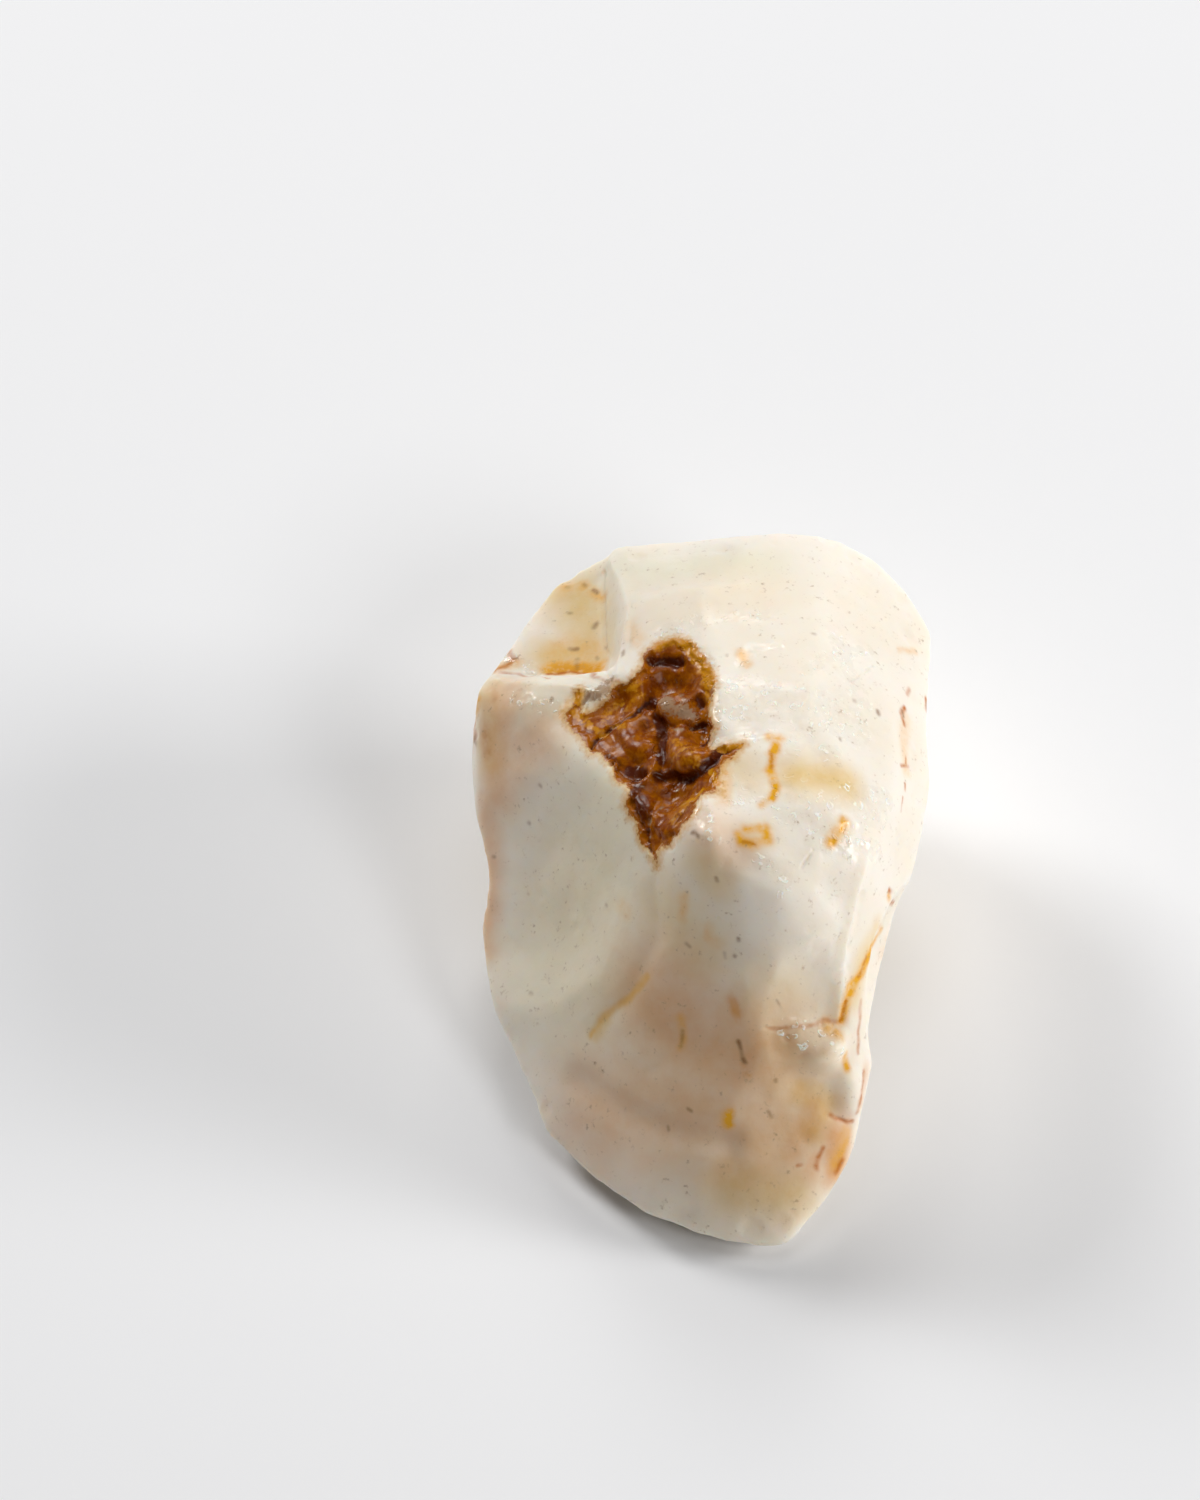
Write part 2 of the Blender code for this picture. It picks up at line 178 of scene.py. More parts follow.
# Where small chips crowd the skin: the pixels of a line through the patch, then its half width and strength
CHIPPED_PATCHES = (
    (((715, 716), (735, 720), (769, 722)), 0.55, 1.0),
    (((712, 736), (740, 738), (762, 732)), 0.5, 1.0),
    (((793, 748), (806, 730), (838, 716)), 0.5, 0.7),
    (((812, 742), (822, 754), (836, 752)), 0.4, 0.9),
    (((850, 796), (884, 800)), 0.7, 1.0),
    (((846, 812), (880, 818)), 0.6, 0.9),
    (((858, 846), (876, 852)), 0.6, 0.8),
    (((790, 1029), (812, 1042), (840, 1050)), 0.62, 1.0),
    (((806, 1030), (830, 1036)), 0.5, 0.9),
    (((818, 822), (808, 842)), 0.3, 0.7),
    (((740, 664), (752, 648), (778, 646)), 0.35, 0.8),
    (((806, 672), (830, 656), (868, 650)), 0.45, 0.45),
    (((664, 632), (682, 628)), 0.5, 0.9),
    (((690, 650), (708, 664), (714, 684)), 0.5, 0.9),
    (((700, 806), (712, 838)), 0.45, 0.7),
    (((516, 696), (556, 710)), 0.45, 0.8),
    (((588, 690), (606, 696)), 0.4, 0.6),
    (((760, 862), (786, 868), (782, 890)), 0.5, 0.5),
    (((648, 744), (656, 756)), 0.3, 1.0),
    (((694, 722), (702, 738)), 0.4, 1.0),
    (((672, 790), (678, 800)), 0.35, 1.0),
    (((650, 682), (660, 688)), 0.35, 0.8),
    (((504, 658), (520, 662), (538, 672)), 0.4, 0.8),
    (((664, 706), (690, 704)), 0.4, 0.6),
    (((736, 694), (800, 704), (850, 724)), 1.6, 0.4),
    (((786, 800), (850, 836)), 1.5, 0.45),
    (((836, 640), (862, 704)), 1.0, 0.3),
    (((700, 622), (764, 616)), 0.9, 0.25),
    (((716, 776), (740, 800)), 0.8, 0.35),
)

# The soft lights: bearing from the back over the right, height in degrees, and size in metres
LIGHTS = {
    "top": (0, 88, 0.32), "back": (0, 40, 0.25), "left": (-45, 35, 0.25), "right": (90, 22, 0.25),
    "front": (135, 40, 0.25),
}

# Stains, tints and painted warm shade: for each kind, the pixels of a line through each mark, its half width and its
# strength
MARKS = {
    "ochre": (
        (((552, 668), (574, 668), (597, 668)), 0.6, 1.0), (((560, 650), (592, 652)), 0.9, 0.35),
        (((566, 586), (567, 587)), 0.4, 0.45), (((583, 586), (584, 587)), 0.4, 0.5),
        (((592, 592), (600, 597)), 0.4, 0.55), (((630, 628), (638, 640)), 0.5, 0.3),
        (((742, 652), (747, 664)), 0.34, 0.55), (((770, 736), (778, 738)), 0.34, 0.7),
        (((776, 745), (772, 762), (770, 772), (775, 786), (772, 798)), 0.26, 0.95),
        (((772, 797), (762, 806)), 0.24, 0.6),
        (((738, 833), (741, 842), (752, 845), (764, 842), (767, 832), (758, 828), (744, 829)), 0.26, 0.8),
        (((766, 829), (767, 840)), 0.3, 0.7), (((845, 822), (838, 832), (831, 842)), 0.36, 0.9),
        (((905, 716), (904, 740), (906, 770)), 0.4, 0.3), (((900, 651), (916, 652)), 0.2, 0.3),
        (((871, 947), (862, 969), (850, 988), (844, 1006), (842, 1020)), 0.34, 0.95),
        (((888, 896), (880, 930), (872, 946)), 0.2, 0.6), (((828, 1026), (838, 1034)), 0.45, 0.6),
        (((845, 1056), (846, 1068)), 0.24, 0.9), (((846, 1134), (842, 1150), (836, 1164)), 0.4, 0.6),
        (((646, 978), (630, 998), (606, 1016), (592, 1034)), 0.2, 0.3), (((684, 897), (682, 918)), 0.3, 0.3),
        (((710, 928), (707, 938), (720, 944)), 0.3, 0.25), (((478, 700), (475, 716)), 0.4, 0.7),
        (((497, 668), (515, 664)), 0.4, 0.5), (((728, 1115), (729, 1125)), 0.34, 1.0),
        (((580, 694), (576, 706)), 0.26, 1.0), (((681, 1018), (683, 1034), (681, 1046)), 0.26, 0.4),
        (((621, 905), (627, 912)), 0.4, 0.22), (((570, 700), (560, 716)), 0.3, 0.35),
        (((724, 800), (724, 770), (716, 760)), 0.4, 0.4),
    ),
    "rust": (
        (((549, 674), (562, 673), (571, 672), (586, 673), (594, 674)), 0.17, 1.0),
        (((500, 672), (520, 675), (549, 679)), 0.12, 0.6), (((594, 677), (608, 682), (617, 681)), 0.1, 0.5),
        (((508, 650), (513, 658), (510, 664)), 0.2, 0.6), (((556, 669), (596, 669)), 0.4, 0.35),
        (((488, 664), (500, 668), (510, 664)), 0.2, 0.7), (((473, 722), (475, 736)), 0.3, 0.55),
        (((484, 726), (487, 752)), 0.4, 0.4), (((494, 692), (494, 700)), 0.2, 0.3),
        (((770, 1029), (780, 1029), (795, 1027), (812, 1025), (824, 1021), (836, 1021)), 0.12, 0.5),
        (((830, 1115), (837, 1118), (846, 1122), (852, 1121)), 0.14, 0.75),
        (((863, 1074), (862, 1090), (858, 1110)), 0.22, 0.8),
        (((846, 1000), (843, 1012), (841, 1020)), 0.14, 0.9), (((866, 958), (858, 975)), 0.12, 0.7),
        (((889, 891), (892, 904)), 0.16, 0.9), (((842, 1160), (836, 1172)), 0.2, 0.8),
        (((823, 1148), (818, 1158), (817, 1168)), 0.14, 0.9), (((798, 1166), (802, 1165)), 0.1, 0.7),
        (((861, 1000), (858, 1030), (859, 1052)), 0.12, 0.6), (((909, 689), (908, 694)), 0.14, 0.5),
        (((905, 708), (900, 714), (904, 724)), 0.16, 1.0), (((906, 757), (905, 762)), 0.1, 0.7),
        (((901, 765), (908, 765)), 0.12, 0.8), (((905, 784), (905, 790)), 0.1, 0.9),
        (((903, 798), (901, 812)), 0.08, 0.7), (((928, 699), (931, 707)), 0.18, 1.0),
        (((773, 754), (772, 768)), 0.12, 0.7), (((744, 843), (756, 845)), 0.1, 0.6),
    ),
    "dark": (
        (((567, 587), (568, 587)), 0.16, 0.5), (((584, 585), (585, 586)), 0.16, 0.5),
        (((593, 591), (597, 593)), 0.16, 0.9), (((569, 614), (570, 614)), 0.14, 0.5),
        (((595, 624), (594, 627)), 0.16, 0.7), (((570, 649), (578, 648)), 0.14, 0.8),
        (((597, 657), (598, 658)), 0.12, 0.5), (((577, 660), (577, 669)), 0.14, 0.45),
        (((607, 646), (607, 647)), 0.12, 0.7), (((622, 652), (622, 655)), 0.14, 0.7),
        (((854, 701), (855, 701)), 0.13, 0.8), (((878, 712), (878, 713)), 0.15, 1.0),
        (((840, 738), (840, 739)), 0.1, 0.6), (((813, 634), (814, 634)), 0.12, 0.6),
        (((728, 655), (728, 656)), 0.1, 0.4), (((693, 833), (698, 836)), 0.14, 0.9),
        (((717, 877), (717, 879)), 0.1, 0.7), (((738, 939), (738, 940)), 0.12, 0.8),
        (((725, 953), (726, 958)), 0.1, 0.6), (((734, 955), (735, 956)), 0.12, 0.6),
        (((687, 944), (690, 947)), 0.12, 0.8), (((682, 1030), (681, 1046)), 0.12, 0.5),
        (((739, 1042), (743, 1054), (745, 1062)), 0.13, 0.85), (((777, 1000), (781, 1009)), 0.08, 0.5),
        (((689, 1110), (692, 1111)), 0.1, 0.6), (((668, 1126), (669, 1130)), 0.1, 0.5),
        (((769, 1112), (771, 1116)), 0.12, 0.5), (((776, 1080), (776, 1082)), 0.1, 0.5),
        (((902, 712), (903, 716)), 0.12, 0.8), (((929, 702), (930, 706)), 0.12, 0.5),
        (((540, 785), (541, 786)), 0.12, 0.5), (((527, 822), (528, 823)), 0.12, 0.5),
        (((493, 857), (494, 857)), 0.12, 0.5), (((528, 894), (529, 895)), 0.1, 0.4),
        (((606, 905), (607, 906)), 0.12, 0.5), (((531, 992), (532, 993)), 0.12, 0.4),
        (((475, 737), (476, 742)), 0.2, 0.7),
    ),
    # pinkish brown on the front, left and lower faces: partly the opal's own tint, partly painted warm shade
    "bruise": (
        (((732, 1002), (736, 1014)), 0.5, 0.9), (((743, 1066), (748, 1074)), 0.4, 0.8),
        (((681, 1052), (682, 1058)), 0.4, 0.4), (((524, 750), (522, 756)), 0.45, 0.6),
        (((506, 700), (500, 740), (498, 790)), 1.5, 0.6), (((540, 735), (510, 760)), 1.8, 0.5),
        (((816, 1160), (812, 1172)), 0.8, 0.6), (((844, 1160), (838, 1176)), 0.4, 0.8),
        (((660, 1000), (700, 1040), (750, 1056)), 3.2, 0.62), (((600, 1110), (680, 1110), (760, 1130)), 3.4, 0.5),
        (((812, 1114), (792, 1150)), 1.3, 0.6), (((838, 1134), (836, 1170)), 1.0, 0.9),
        (((764, 1064), (800, 1092)), 1.5, 0.4), (((486, 800), (488, 880), (484, 950)), 1.0, 0.5),
        (((866, 1070), (862, 1100)), 0.5, 0.4), (((710, 825), (735, 850)), 1.3, 0.35),
    ),
    "amber": (
        (((657, 646), (672, 641), (688, 644)), 0.3, 0.9),
        (((690, 648), (700, 660), (708, 672), (710, 682)), 0.5, 1.0), (((706, 694), (709, 712)), 0.3, 0.7),
        (((720, 749), (738, 747)), 0.22, 0.9), (((712, 770), (718, 784)), 0.26, 0.8),
        (((575, 712), (590, 728), (604, 736)), 0.35, 0.7), (((604, 716), (620, 704)), 0.3, 0.6),
        (((674, 742), (692, 762)), 0.8, 0.45), (((606, 722), (640, 692)), 0.5, 0.45),
        (((694, 798), (674, 822)), 0.6, 0.45), (((690, 800), (700, 792)), 0.35, 0.8),
        (((618, 726), (622, 728)), 0.3, 0.6), (((640, 684), (630, 690)), 0.3, 0.6),
        (((580, 694), (577, 704)), 0.2, 0.9), (((672, 822), (684, 814)), 0.3, 0.4),
    ),
    "deep": (
        (((590, 747), (612, 730), (634, 715), (652, 700)), 0.16, 0.8),
        (((654, 700), (660, 722), (664, 745), (662, 762)), 0.34, 1.0),
        (((630, 772), (660, 776), (690, 778), (706, 766), (722, 754)), 0.42, 1.0),
        (((652, 663), (666, 662), (680, 663)), 0.36, 1.0),
        (((690, 730), (704, 725), (709, 736), (704, 746)), 0.22, 0.9), (((699, 700), (703, 706)), 0.3, 0.8),
        (((604, 686), (606, 694)), 0.22, 0.9), (((640, 776), (636, 795), (644, 815)), 0.6, 0.7),
        (((606, 756), (626, 770)), 0.3, 0.5), (((648, 832), (652, 862)), 0.16, 0.5),
        (((640, 718), (650, 732)), 0.5, 0.45), (((656, 684), (674, 680), (690, 686)), 0.5, 0.4),
    ),
    "pale": (
        (((662, 700), (676, 709), (690, 714)), 0.42, 0.9), (((668, 692), (684, 700)), 0.3, 0.6),
        (((668, 724), (680, 732), (692, 728)), 0.14, 0.6), (((587, 700), (598, 692), (606, 685)), 0.42, 1.0),
        (((700, 728), (703, 738)), 0.12, 0.5), (((676, 790), (656, 812), (650, 838)), 0.09, 0.6),
        (((690, 796), (674, 818), (664, 842)), 0.07, 0.4), (((656, 790), (646, 806), (642, 826)), 0.06, 0.4),
    ),
    "honey": (
        (((796, 776), (845, 782)), 1.2, 0.75), (((812, 766), (836, 770)), 0.9, 0.35),
        (((735, 765), (752, 775)), 1.2, 0.4), (((650, 615), (700, 600), (760, 590)), 2.2, 0.18),
        (((570, 594), (584, 620), (588, 650)), 1.6, 0.75), (((548, 654), (596, 655)), 1.3, 0.7),
        (((646, 978), (630, 998), (606, 1016), (592, 1034)), 0.34, 0.6), (((606, 1020), (598, 1034)), 0.5, 0.6),
        # the two broad marks below, and the marks at the lower right and at the toe, warm the shaded lower faces: iron
        # tint and painted warm shade
        (((580, 880), (620, 990), (700, 1110)), 5.0, 0.2), (((764, 1000), (796, 1080), (780, 1150)), 2.8, 0.35),
        (((700, 862), (716, 880)), 1.2, 0.4), (((752, 836), (762, 836)), 0.8, 0.4),
        (((838, 836), (842, 830)), 0.7, 0.3), (((876, 930), (862, 960), (852, 1000)), 0.7, 0.5),
        (((804, 1092), (824, 1104), (812, 1130)), 1.1, 0.7), (((660, 905), (700, 950)), 2.2, 0.4),
        (((492, 690), (490, 760)), 1.0, 0.5), (((735, 1185), (790, 1195)), 1.8, 0.6),
        (((560, 764), (600, 700)), 0.6, 0.2),
    ),
    "green": (
        (((600, 575), (655, 572), (690, 565), (760, 560)), 1.8, 0.7), (((613, 590), (616, 650)), 0.7, 0.5),
        (((530, 700), (570, 705)), 1.6, 0.6), (((600, 810), (600, 880), (560, 960)), 4.2, 0.6),
        (((620, 860), (600, 980)), 2.6, 0.5),
    ),
}

# Stains on the sides that the photo doesn't show: (x, y, z) along each, its half width and its strength
FAR_MARKS = {
    "ochre": (
        (((-8.0, 19.5, 12.0), (-3.0, 20.5, 9.0), (2.0, 20.0, 7.5)), 0.9, 0.35),
        (((13.5, 6.0, 12.5), (13.8, 8.0, 10.5), (13.0, 12.0, 10.0)), 0.8, 0.3),
        (((6.0, 20.5, 15.0), (7.5, 20.6, 12.0)), 0.9, 0.5), (((11.5, -2.5, 7.0), (12.2, 1.5, 5.5)), 0.9, 0.25),
        (((-13.5, 8.0, 8.0), (-12.5, 11.0, 6.0)), 0.8, 0.35),
    ),
    "rust": (
        (((-9.5, 18.0, 13.5), (-4.0, 20.8, 10.5), (1.0, 20.6, 9.0), (5.0, 20.0, 6.0)), 0.14, 0.6),
        (((13.8, 5.5, 13.0), (13.9, 8.0, 10.6), (13.2, 10.5, 10.6)), 0.1, 0.5),
        (((9.0, 20.0, 13.0), (10.5, 18.8, 10.0)), 0.2, 0.5),
    ),
    "honey": (
        (((-4.0, 20.0, 8.0), (3.0, 19.5, 6.0)), 3.6, 0.5), (((13.0, 8.0, 8.0), (11.5, 3.0, 6.0)), 3.0, 0.45),
        (((-12.5, 6.0, 5.0), (-9.0, 12.0, 4.0)), 3.2, 0.45),
    ),
    "green": (
        (((0.0, 20.5, 13.5), (8.0, 20.0, 12.0)), 3.0, 0.5), (((13.8, 12.0, 11.0), (13.0, 16.0, 10.0)), 2.6, 0.4),
    ),
}

# The opal's colours and what each one is
COLOURS = {
    "milk": ("#F2EADE", "Clean opal"),
    "cream": ("#F0E6D6", "Warmer opal"),
    "cloud": ("#EEE9DF", "Cooler, whiter opal"),
    "greenish": ("#E4DEC6", "Greenish grey opal"),
    "honey": ("#DCB656", "Opal tinted by iron"),
    # pinkish brown that is partly the opal's tint and partly painted warm shade on the faces turned from the lights
    "bruise": ("#DA9C54", "Pinkish brown opal"),
    # pure white painted along the chips' curled edges: painted glints
    "crushed": ("#FFFAF0", "White edges of small chips"),
    "pore": ("#B5A07C", "Dirt in the pores"),
    "ochre": ("#E8A820", "Clay stain"),
    "rust": ("#C06C14", "Iron stain in the cracks"),
    "speck": ("#7E4A08", "Dark specks"),
    "halo": ("#D09A34", "Stain around the pit"),
    "iron_gold": ("#AA6000", "Golden brown of the pit"),
    "iron_brown": ("#823C00", "Brown of the pit"),
    "iron_dark": ("#4E1800", "The pit's grooves"),
    "amber": ("#CE8A14", "Amber grains of the pit"),
    "veil": ("#A88B6E", "Pale opal within the pit"),
}

# Uneven patterns of the material: how far apart their bumps are, then detail, roughness, warp and a shift in metres
PATTERNS = {
    "fine": (0.22, 2.0, 0.5, 0.0, 0.0),
    "middling": (0.7, 3.0, 0.6, 0.0, 0.0),
    "broad": (5.5, 3.0, 0.55, 0.0, 0.0),
    "clouds": (2.4, 4.0, 0.6, 0.0, 0.013),
    "wear": (1.6, 4.0, 0.6, 0.0, 0.021),
    "pores": (0.3, 1.0, 0.5, 0.0, 0.034),
    "iron": (0.8, 4.0, 0.65, 0.4, 0.055),
    "satin": (1.3, 3.0, 0.6, 0.0, 0.071),
    "wet": (0.5, 2.0, 0.5, 0.0, 0.083),
    "skin": (0.6, 3.0, 0.5, 0.0, 0.09),
    "grain": (0.2, 3.0, 0.6, 0.0, 0.1),
    "small_breaks": (0.5, 1.0, 0.5, 0.0, 0.3),
    "large_breaks": (0.5, 1.0, 0.5, 0.0, 0.22),
}

# How ragged the fine and the middling pattern make an edge, and how much of it each mark of the pit takes
FINE_RAGS, MIDDLING_RAGS = 0.9, 1.3
RAGGED_MARKS = {"ironstone": 0.5, "deep": 0.55, "amber": 0.8, "pale": 1.3}

# How strongly a thing shows: the value it is read from, between which two of its values, and from what to what
SHARES = {
    "creamy": ("broad", 0.35, 0.68, 0.0, 1.0),
    "cloudy": ("clouds", 0.5, 0.75, 0.0, 0.3),
    "green_part": ("broad", 0.3, 0.6, 0.7, 1.0),
    "worn": ("wear", 0.3, 0.7, 0.75, 1.0),
    "dirty": ("pores", 0.74, 0.82, 0.0, 0.12),
    "mottle": ("middling", 0.34, 0.6, 0.7, 1.3),
    "ringed": ("ragged_ironstone", -0.6, 0.0, 0.0, 0.7),
    "rim": ("ragged_ironstone", -0.1, 0.08, 0.0, 1.0),
    "pit_gloss": ("ragged_ironstone", -0.1, 0.08, 0.0, 0.55),
    "brown_part": ("iron", 0.36, 0.62, 0.0, 1.0),
    "golden_edge": ("ragged_ironstone", 0.0, 0.5, 0.6, 0.0),
    "dark_part": ("ragged_deep", 0.2, 0.75, 0.0, 0.95),
    "amber_part": ("ragged_amber", 0.3, 0.8, 0.0, 0.9),
    "amber_near": ("ragged_amber", 0.3, 0.8, 0.0, 0.8),
    "near_pit": ("ragged_ironstone", -0.5, -0.1, 0.0, 1.0),
    "pale_part": ("ragged_pale", 0.2, 0.8, 0.0, 0.85),
    "satin_gloss": ("satin", 0.3, 0.7, 0.36, 0.5),
    "wet_gloss": ("wet", 0.35, 0.65, 0.08, 0.2),
    "crowded": ("chipped", 0.03, 0.35, 0.0, 1.0),
    "curled": ("chipped", 0.03, 0.4, 0.0, 1.0),
    "patchy": ("middling", 0.38, 0.52, 0.0, 1.0),
    "small_breaks": ("small_breaks", 0.48, 0.56, 0.0, 1.0),
    "large_breaks": ("large_breaks", 0.48, 0.56, 0.0, 1.0),
}

# Shares that are the product of two others
PRODUCTS = (
    ("greener", "green", "green_part"),
    ("honeyed", "honey", "worn"),
    ("pink_tint_and_shade_share", "bruise", "worn"),
    ("amber_beside", "amber_near", "near_pit"),
    ("struck", "crowded", "patchy"),
    ("pit_grain", "grain", "rim"),
)

# How much of its colour each kind of stain gives
STAINS = {"ochre": 1.0, "rust": 0.85, "dark": 0.75}

# Curled edges of chips: how far apart, how wide their rings are as a share of that, and what breaks them
CURLS = ((0.7, 0.3, "small_breaks"), (1.1, 0.22, "large_breaks"))
CURL_BEND, CURL_WIDTH = 0.6, 0.09

# The tints of the pit and of the stone, each laid over the ones before it by its share
PIT_LAYERS = (
    ("brown_part", "iron_brown"), ("golden_edge", "iron_gold"), ("dark_part", "iron_dark"), ("amber_part", "amber"),
)
STONE_LAYERS = (
    ("creamy", "cream"), ("cloudy", "cloud"), ("greener", "greenish"), ("honeyed", "honey"), ("pink_tint_and_shade_share", "bruise"),
    ("curls", "crushed"), ("dirty", "pore"), ("ochre_stain", "ochre"), ("rust_stain", "rust"),
    ("dark_stain", "speck"), ("ringed", "halo"), ("rim", "pit"), ("amber_beside", "amber"), ("pale_part", "veil"),
)

# The skin's faint relief, the curled edges and the pit's grains, and how deep each is
BUMPS = {"skin": 0.018, "curls": 0.05, "pit_grain": 0.008}


def linear(hex_colour):
    """The linear colour of an sRGB hex value, with full opacity."""
    channels = [int(hex_colour[i:i + 2], 16) / 255 for i in (1, 3, 5)]
    return [c / 12.92 if c <= 0.04045 else ((c + 0.055) / 1.055) ** 2.4 for c in channels] + [1.0]


def add_node(tree, kind, inputs=None, **settings):
    """Adds a node with its settings. An input takes a value, or a link from another node's output."""
    node = tree.nodes.new(kind)
    for name, value in settings.items():
        setattr(node, name, value)
    for key, value in (inputs or {}).items():
        if isinstance(value, bpy.types.NodeSocket):
            tree.links.new(value, node.inputs[key])
        else:
            node.inputs[key].default_value = value
    return node


class Sight:
    """The photo's camera, in millimetres: it says where a pixel lands, and where a point shows."""

    def __init__(self):
        down, level = math.sin(LOOKS_DOWN), math.cos(LOOKS_DOWN)
        self.right = np.array((1.0, 0.0, 0.0))
        self.up = np.array((0.0, down, level))
        self.back = np.array((0.0, -level, down))
        aside = (ORIGIN_PIXEL[0] - PHOTO_WIDTH / 2) / PIXELS_PER_MM
        above = (PHOTO_HEIGHT / 2 - ORIGIN_PIXEL[1]) / PIXELS_PER_MM
        self.target = -aside * self.right - above * self.up
        self.eye = self.target + CAMERA_DISTANCE * self.back

    def pixels_of(self, points):
        away = points - self.eye
        depth = -away @ self.back
        across = PHOTO_WIDTH / 2 + FOCAL_PIXELS * (away @ self.right) / depth
        down = PHOTO_HEIGHT / 2 - FOCAL_PIXELS * (away @ self.up) / depth
        return np.column_stack((across, down))

    def ray_of(self, pixel):
        across = (pixel[0] - PHOTO_WIDTH / 2) / FOCAL_PIXELS
        above = (PHOTO_HEIGHT / 2 - pixel[1]) / FOCAL_PIXELS
        return across * self.right + above * self.up - self.back


class Skin:
    """The points and outward directions of a mesh in millimetres, for the strokes and the marks."""

    def __init__(self, mesh, sight):
        self.mesh = mesh
        self.sight = sight
        self.read()
        faces = [tuple(face.vertices) for face in mesh.polygons]
        self.tree = BVHTree.FromPolygons([Vector(point) for point in self.points], faces)

    def read(self):
        count = len(self.mesh.vertices)
        self.points = np.empty(count * 3)
        self.mesh.vertices.foreach_get("co", self.points)
        self.points = self.points.reshape(-1, 3)
        self.outward = np.empty(count * 3)
        self.mesh.vertices.foreach_get("normal", self.outward)
        self.outward = self.outward.reshape(-1, 3)

    def press(self, depth):
        """Presses every point in by its own depth."""
        self.points -= depth[:, None] * self.outward
        self.mesh.vertices.foreach_set("co", self.points.astype(np.float32).ravel())
        self.mesh.update()
        self.read()

    def land(self, pixels):
        """The places on the stone at these pixels. A pixel beside the outline is drawn in until it lands."""
        eye = Vector(self.sight.eye)
        places = []
        for pixel in np.array(pixels, float):
            for _ in range(DRAW_IN_STEPS):
                place = self.tree.ray_cast(eye, Vector(self.sight.ray_of(pixel)).normalized())[0]
                if place is not None:
                    break
                pixel += (np.array(MIDDLE_PIXEL) - pixel) * DRAW_IN_SHARE
            else:
                raise ValueError(f"the stone doesn't show near pixel {pixel}")
            places.append(place)
        return np.array(places)

    def lay(self, places):
        """The places on the stone that are nearest to these points."""
        return np.array([self.tree.find_nearest(Vector(place))[0] for place in places])


def distance_to_line(points, line):
    """The distance of each point from a line of straight runs."""
    nearest = np.full(len(points), np.inf)
    for start, end in zip(line[:-1], line[1:]):
        run = end - start
        share = np.clip((points - start) @ run / max(run @ run, 1e-9), 0, 1)
        away = points - (start + share[:, None] * run)
        nearest = np.minimum(nearest, np.einsum("ij,ij->i", away, away))
    return np.sqrt(nearest)


def astray(points, reach, spacing):
    """The points, each moved smoothly aside by up to about the given reach."""
    return points + reach * np.array([noise.noise_vector(Vector(p)) for p in points / spacing])


def uneven(points, spacing, layer, octaves=1):
    """A smooth uneven pattern from about -1 to 1, with bumps at about the given spacing."""
    offset = Vector((0, 0, layer))
    scaled = points / spacing
    if octaves == 1:
        return np.array([noise.noise(Vector(p) + offset) for p in scaled])
    return np.array([noise.fractal(Vector(p) + offset, 1.0, 2.0, octaves) for p in scaled])


def soft(share):
    """Falls smoothly from 1 at share 0 to 0 at share 1 and beyond."""
    inner = np.clip(1 - share, 0, 1)
    return inner * inner * (3 - 2 * inner)


def apply_modifiers(thing):
    """Turns the object's modifiers into its own mesh."""
    graph = bpy.context.evaluated_depsgraph_get()
    shaped = bpy.data.meshes.new_from_object(thing.evaluated_get(graph))
    thing.modifiers.clear()
    old = thing.data
    thing.data = shaped
    bpy.data.meshes.remove(old)


def fine_copy(node, spacing):
    """A fine, even copy of a node's solid, in millimetres."""
    merged = bmesh.new()
    merged.from_mesh(node.data)
    bmesh.ops.remove_doubles(merged, verts=merged.verts, dist=MM / 1000)
    mesh = bpy.data.meshes.new("opal_lump")
    merged.to_mesh(mesh)
    merged.free()
    mesh.transform(Matrix.Scale(1 / MM, 4))
    stone = bpy.data.objects.new("opal_lump", mesh)
    bpy.context.scene.collection.objects.link(stone)
    rounded = stone.modifiers.new("rounded", "SUBSURF")
    rounded.levels = rounded.render_levels = 2
    grid = stone.modifiers.new("fine_grid", "REMESH")
    grid.mode = "VOXEL"
    grid.voxel_size = spacing
    even = stone.modifiers.new("even", "SMOOTH")
    even.factor = 0.5
    even.iterations = 4
    apply_modifiers(stone)
    return stone


def pit_share(skin):
    """How far inside the pit's edge each point lies, in millimetres: below 0 is outside."""
    pixels = skin.sight.pixels_of(skin.points)
    edge = np.array(PIT_EDGE + PIT_EDGE[:1], float)
    within = np.zeros(len(pixels), bool)
    for (u0, v0), (u1, v1) in zip(edge[:-1], edge[1:]):
        if v0 == v1:
            continue
        crosses = (pixels[:, 1] < v0) != (pixels[:, 1] < v1)
        within ^= crosses & (pixels[:, 0] < u0 + (pixels[:, 1] - v0) * (u1 - u0) / (v1 - v0))
    away = distance_to_line(pixels, edge) / PIXELS_PER_MM
    inside = np.where(within, away, -away)
    inside[skin.outward @ skin.sight.back < 0] = HIDDEN_FROM_SIGHT
    return inside


def shape_pit(skin, depth):
    """Sinks the pit below its gnawed rim, raises its lumps, cuts the grooves between them and roughens all."""
    inside = pit_share(skin)
    near = inside > -PIT_REACH
    spots = skin.points[near]
    gnawed = inside[near] + GNAW * uneven(spots, GNAW_SPACING, 13.0, octaves=2)
    bend = astray(spots, PIT_WANDER, GNAW_SPACING)
    relief = np.full(len(spots), depth)
    for pixels, width, height in PIT_LUMPS:
        share = distance_to_line(bend, skin.land(pixels)) / (width * LUMP_SPREAD_SHARE)
        relief = np.minimum(relief, depth - height * np.clip(1 - share * share, 0, 1))
    for pixels, width, height in PIT_GROOVES:
        relief += height * soft(distance_to_line(bend, skin.land(pixels)) / (width * GROOVE_SPREAD_SHARE))
    relief += PIT_ROUGHNESS * uneven(spots, GNAW_SPACING, 11.0, octaves=2)
    press = np.zeros(len(skin.points))
    press[near] = relief * (1 - soft(gnawed / RIM_RUN))
    skin.press(press)


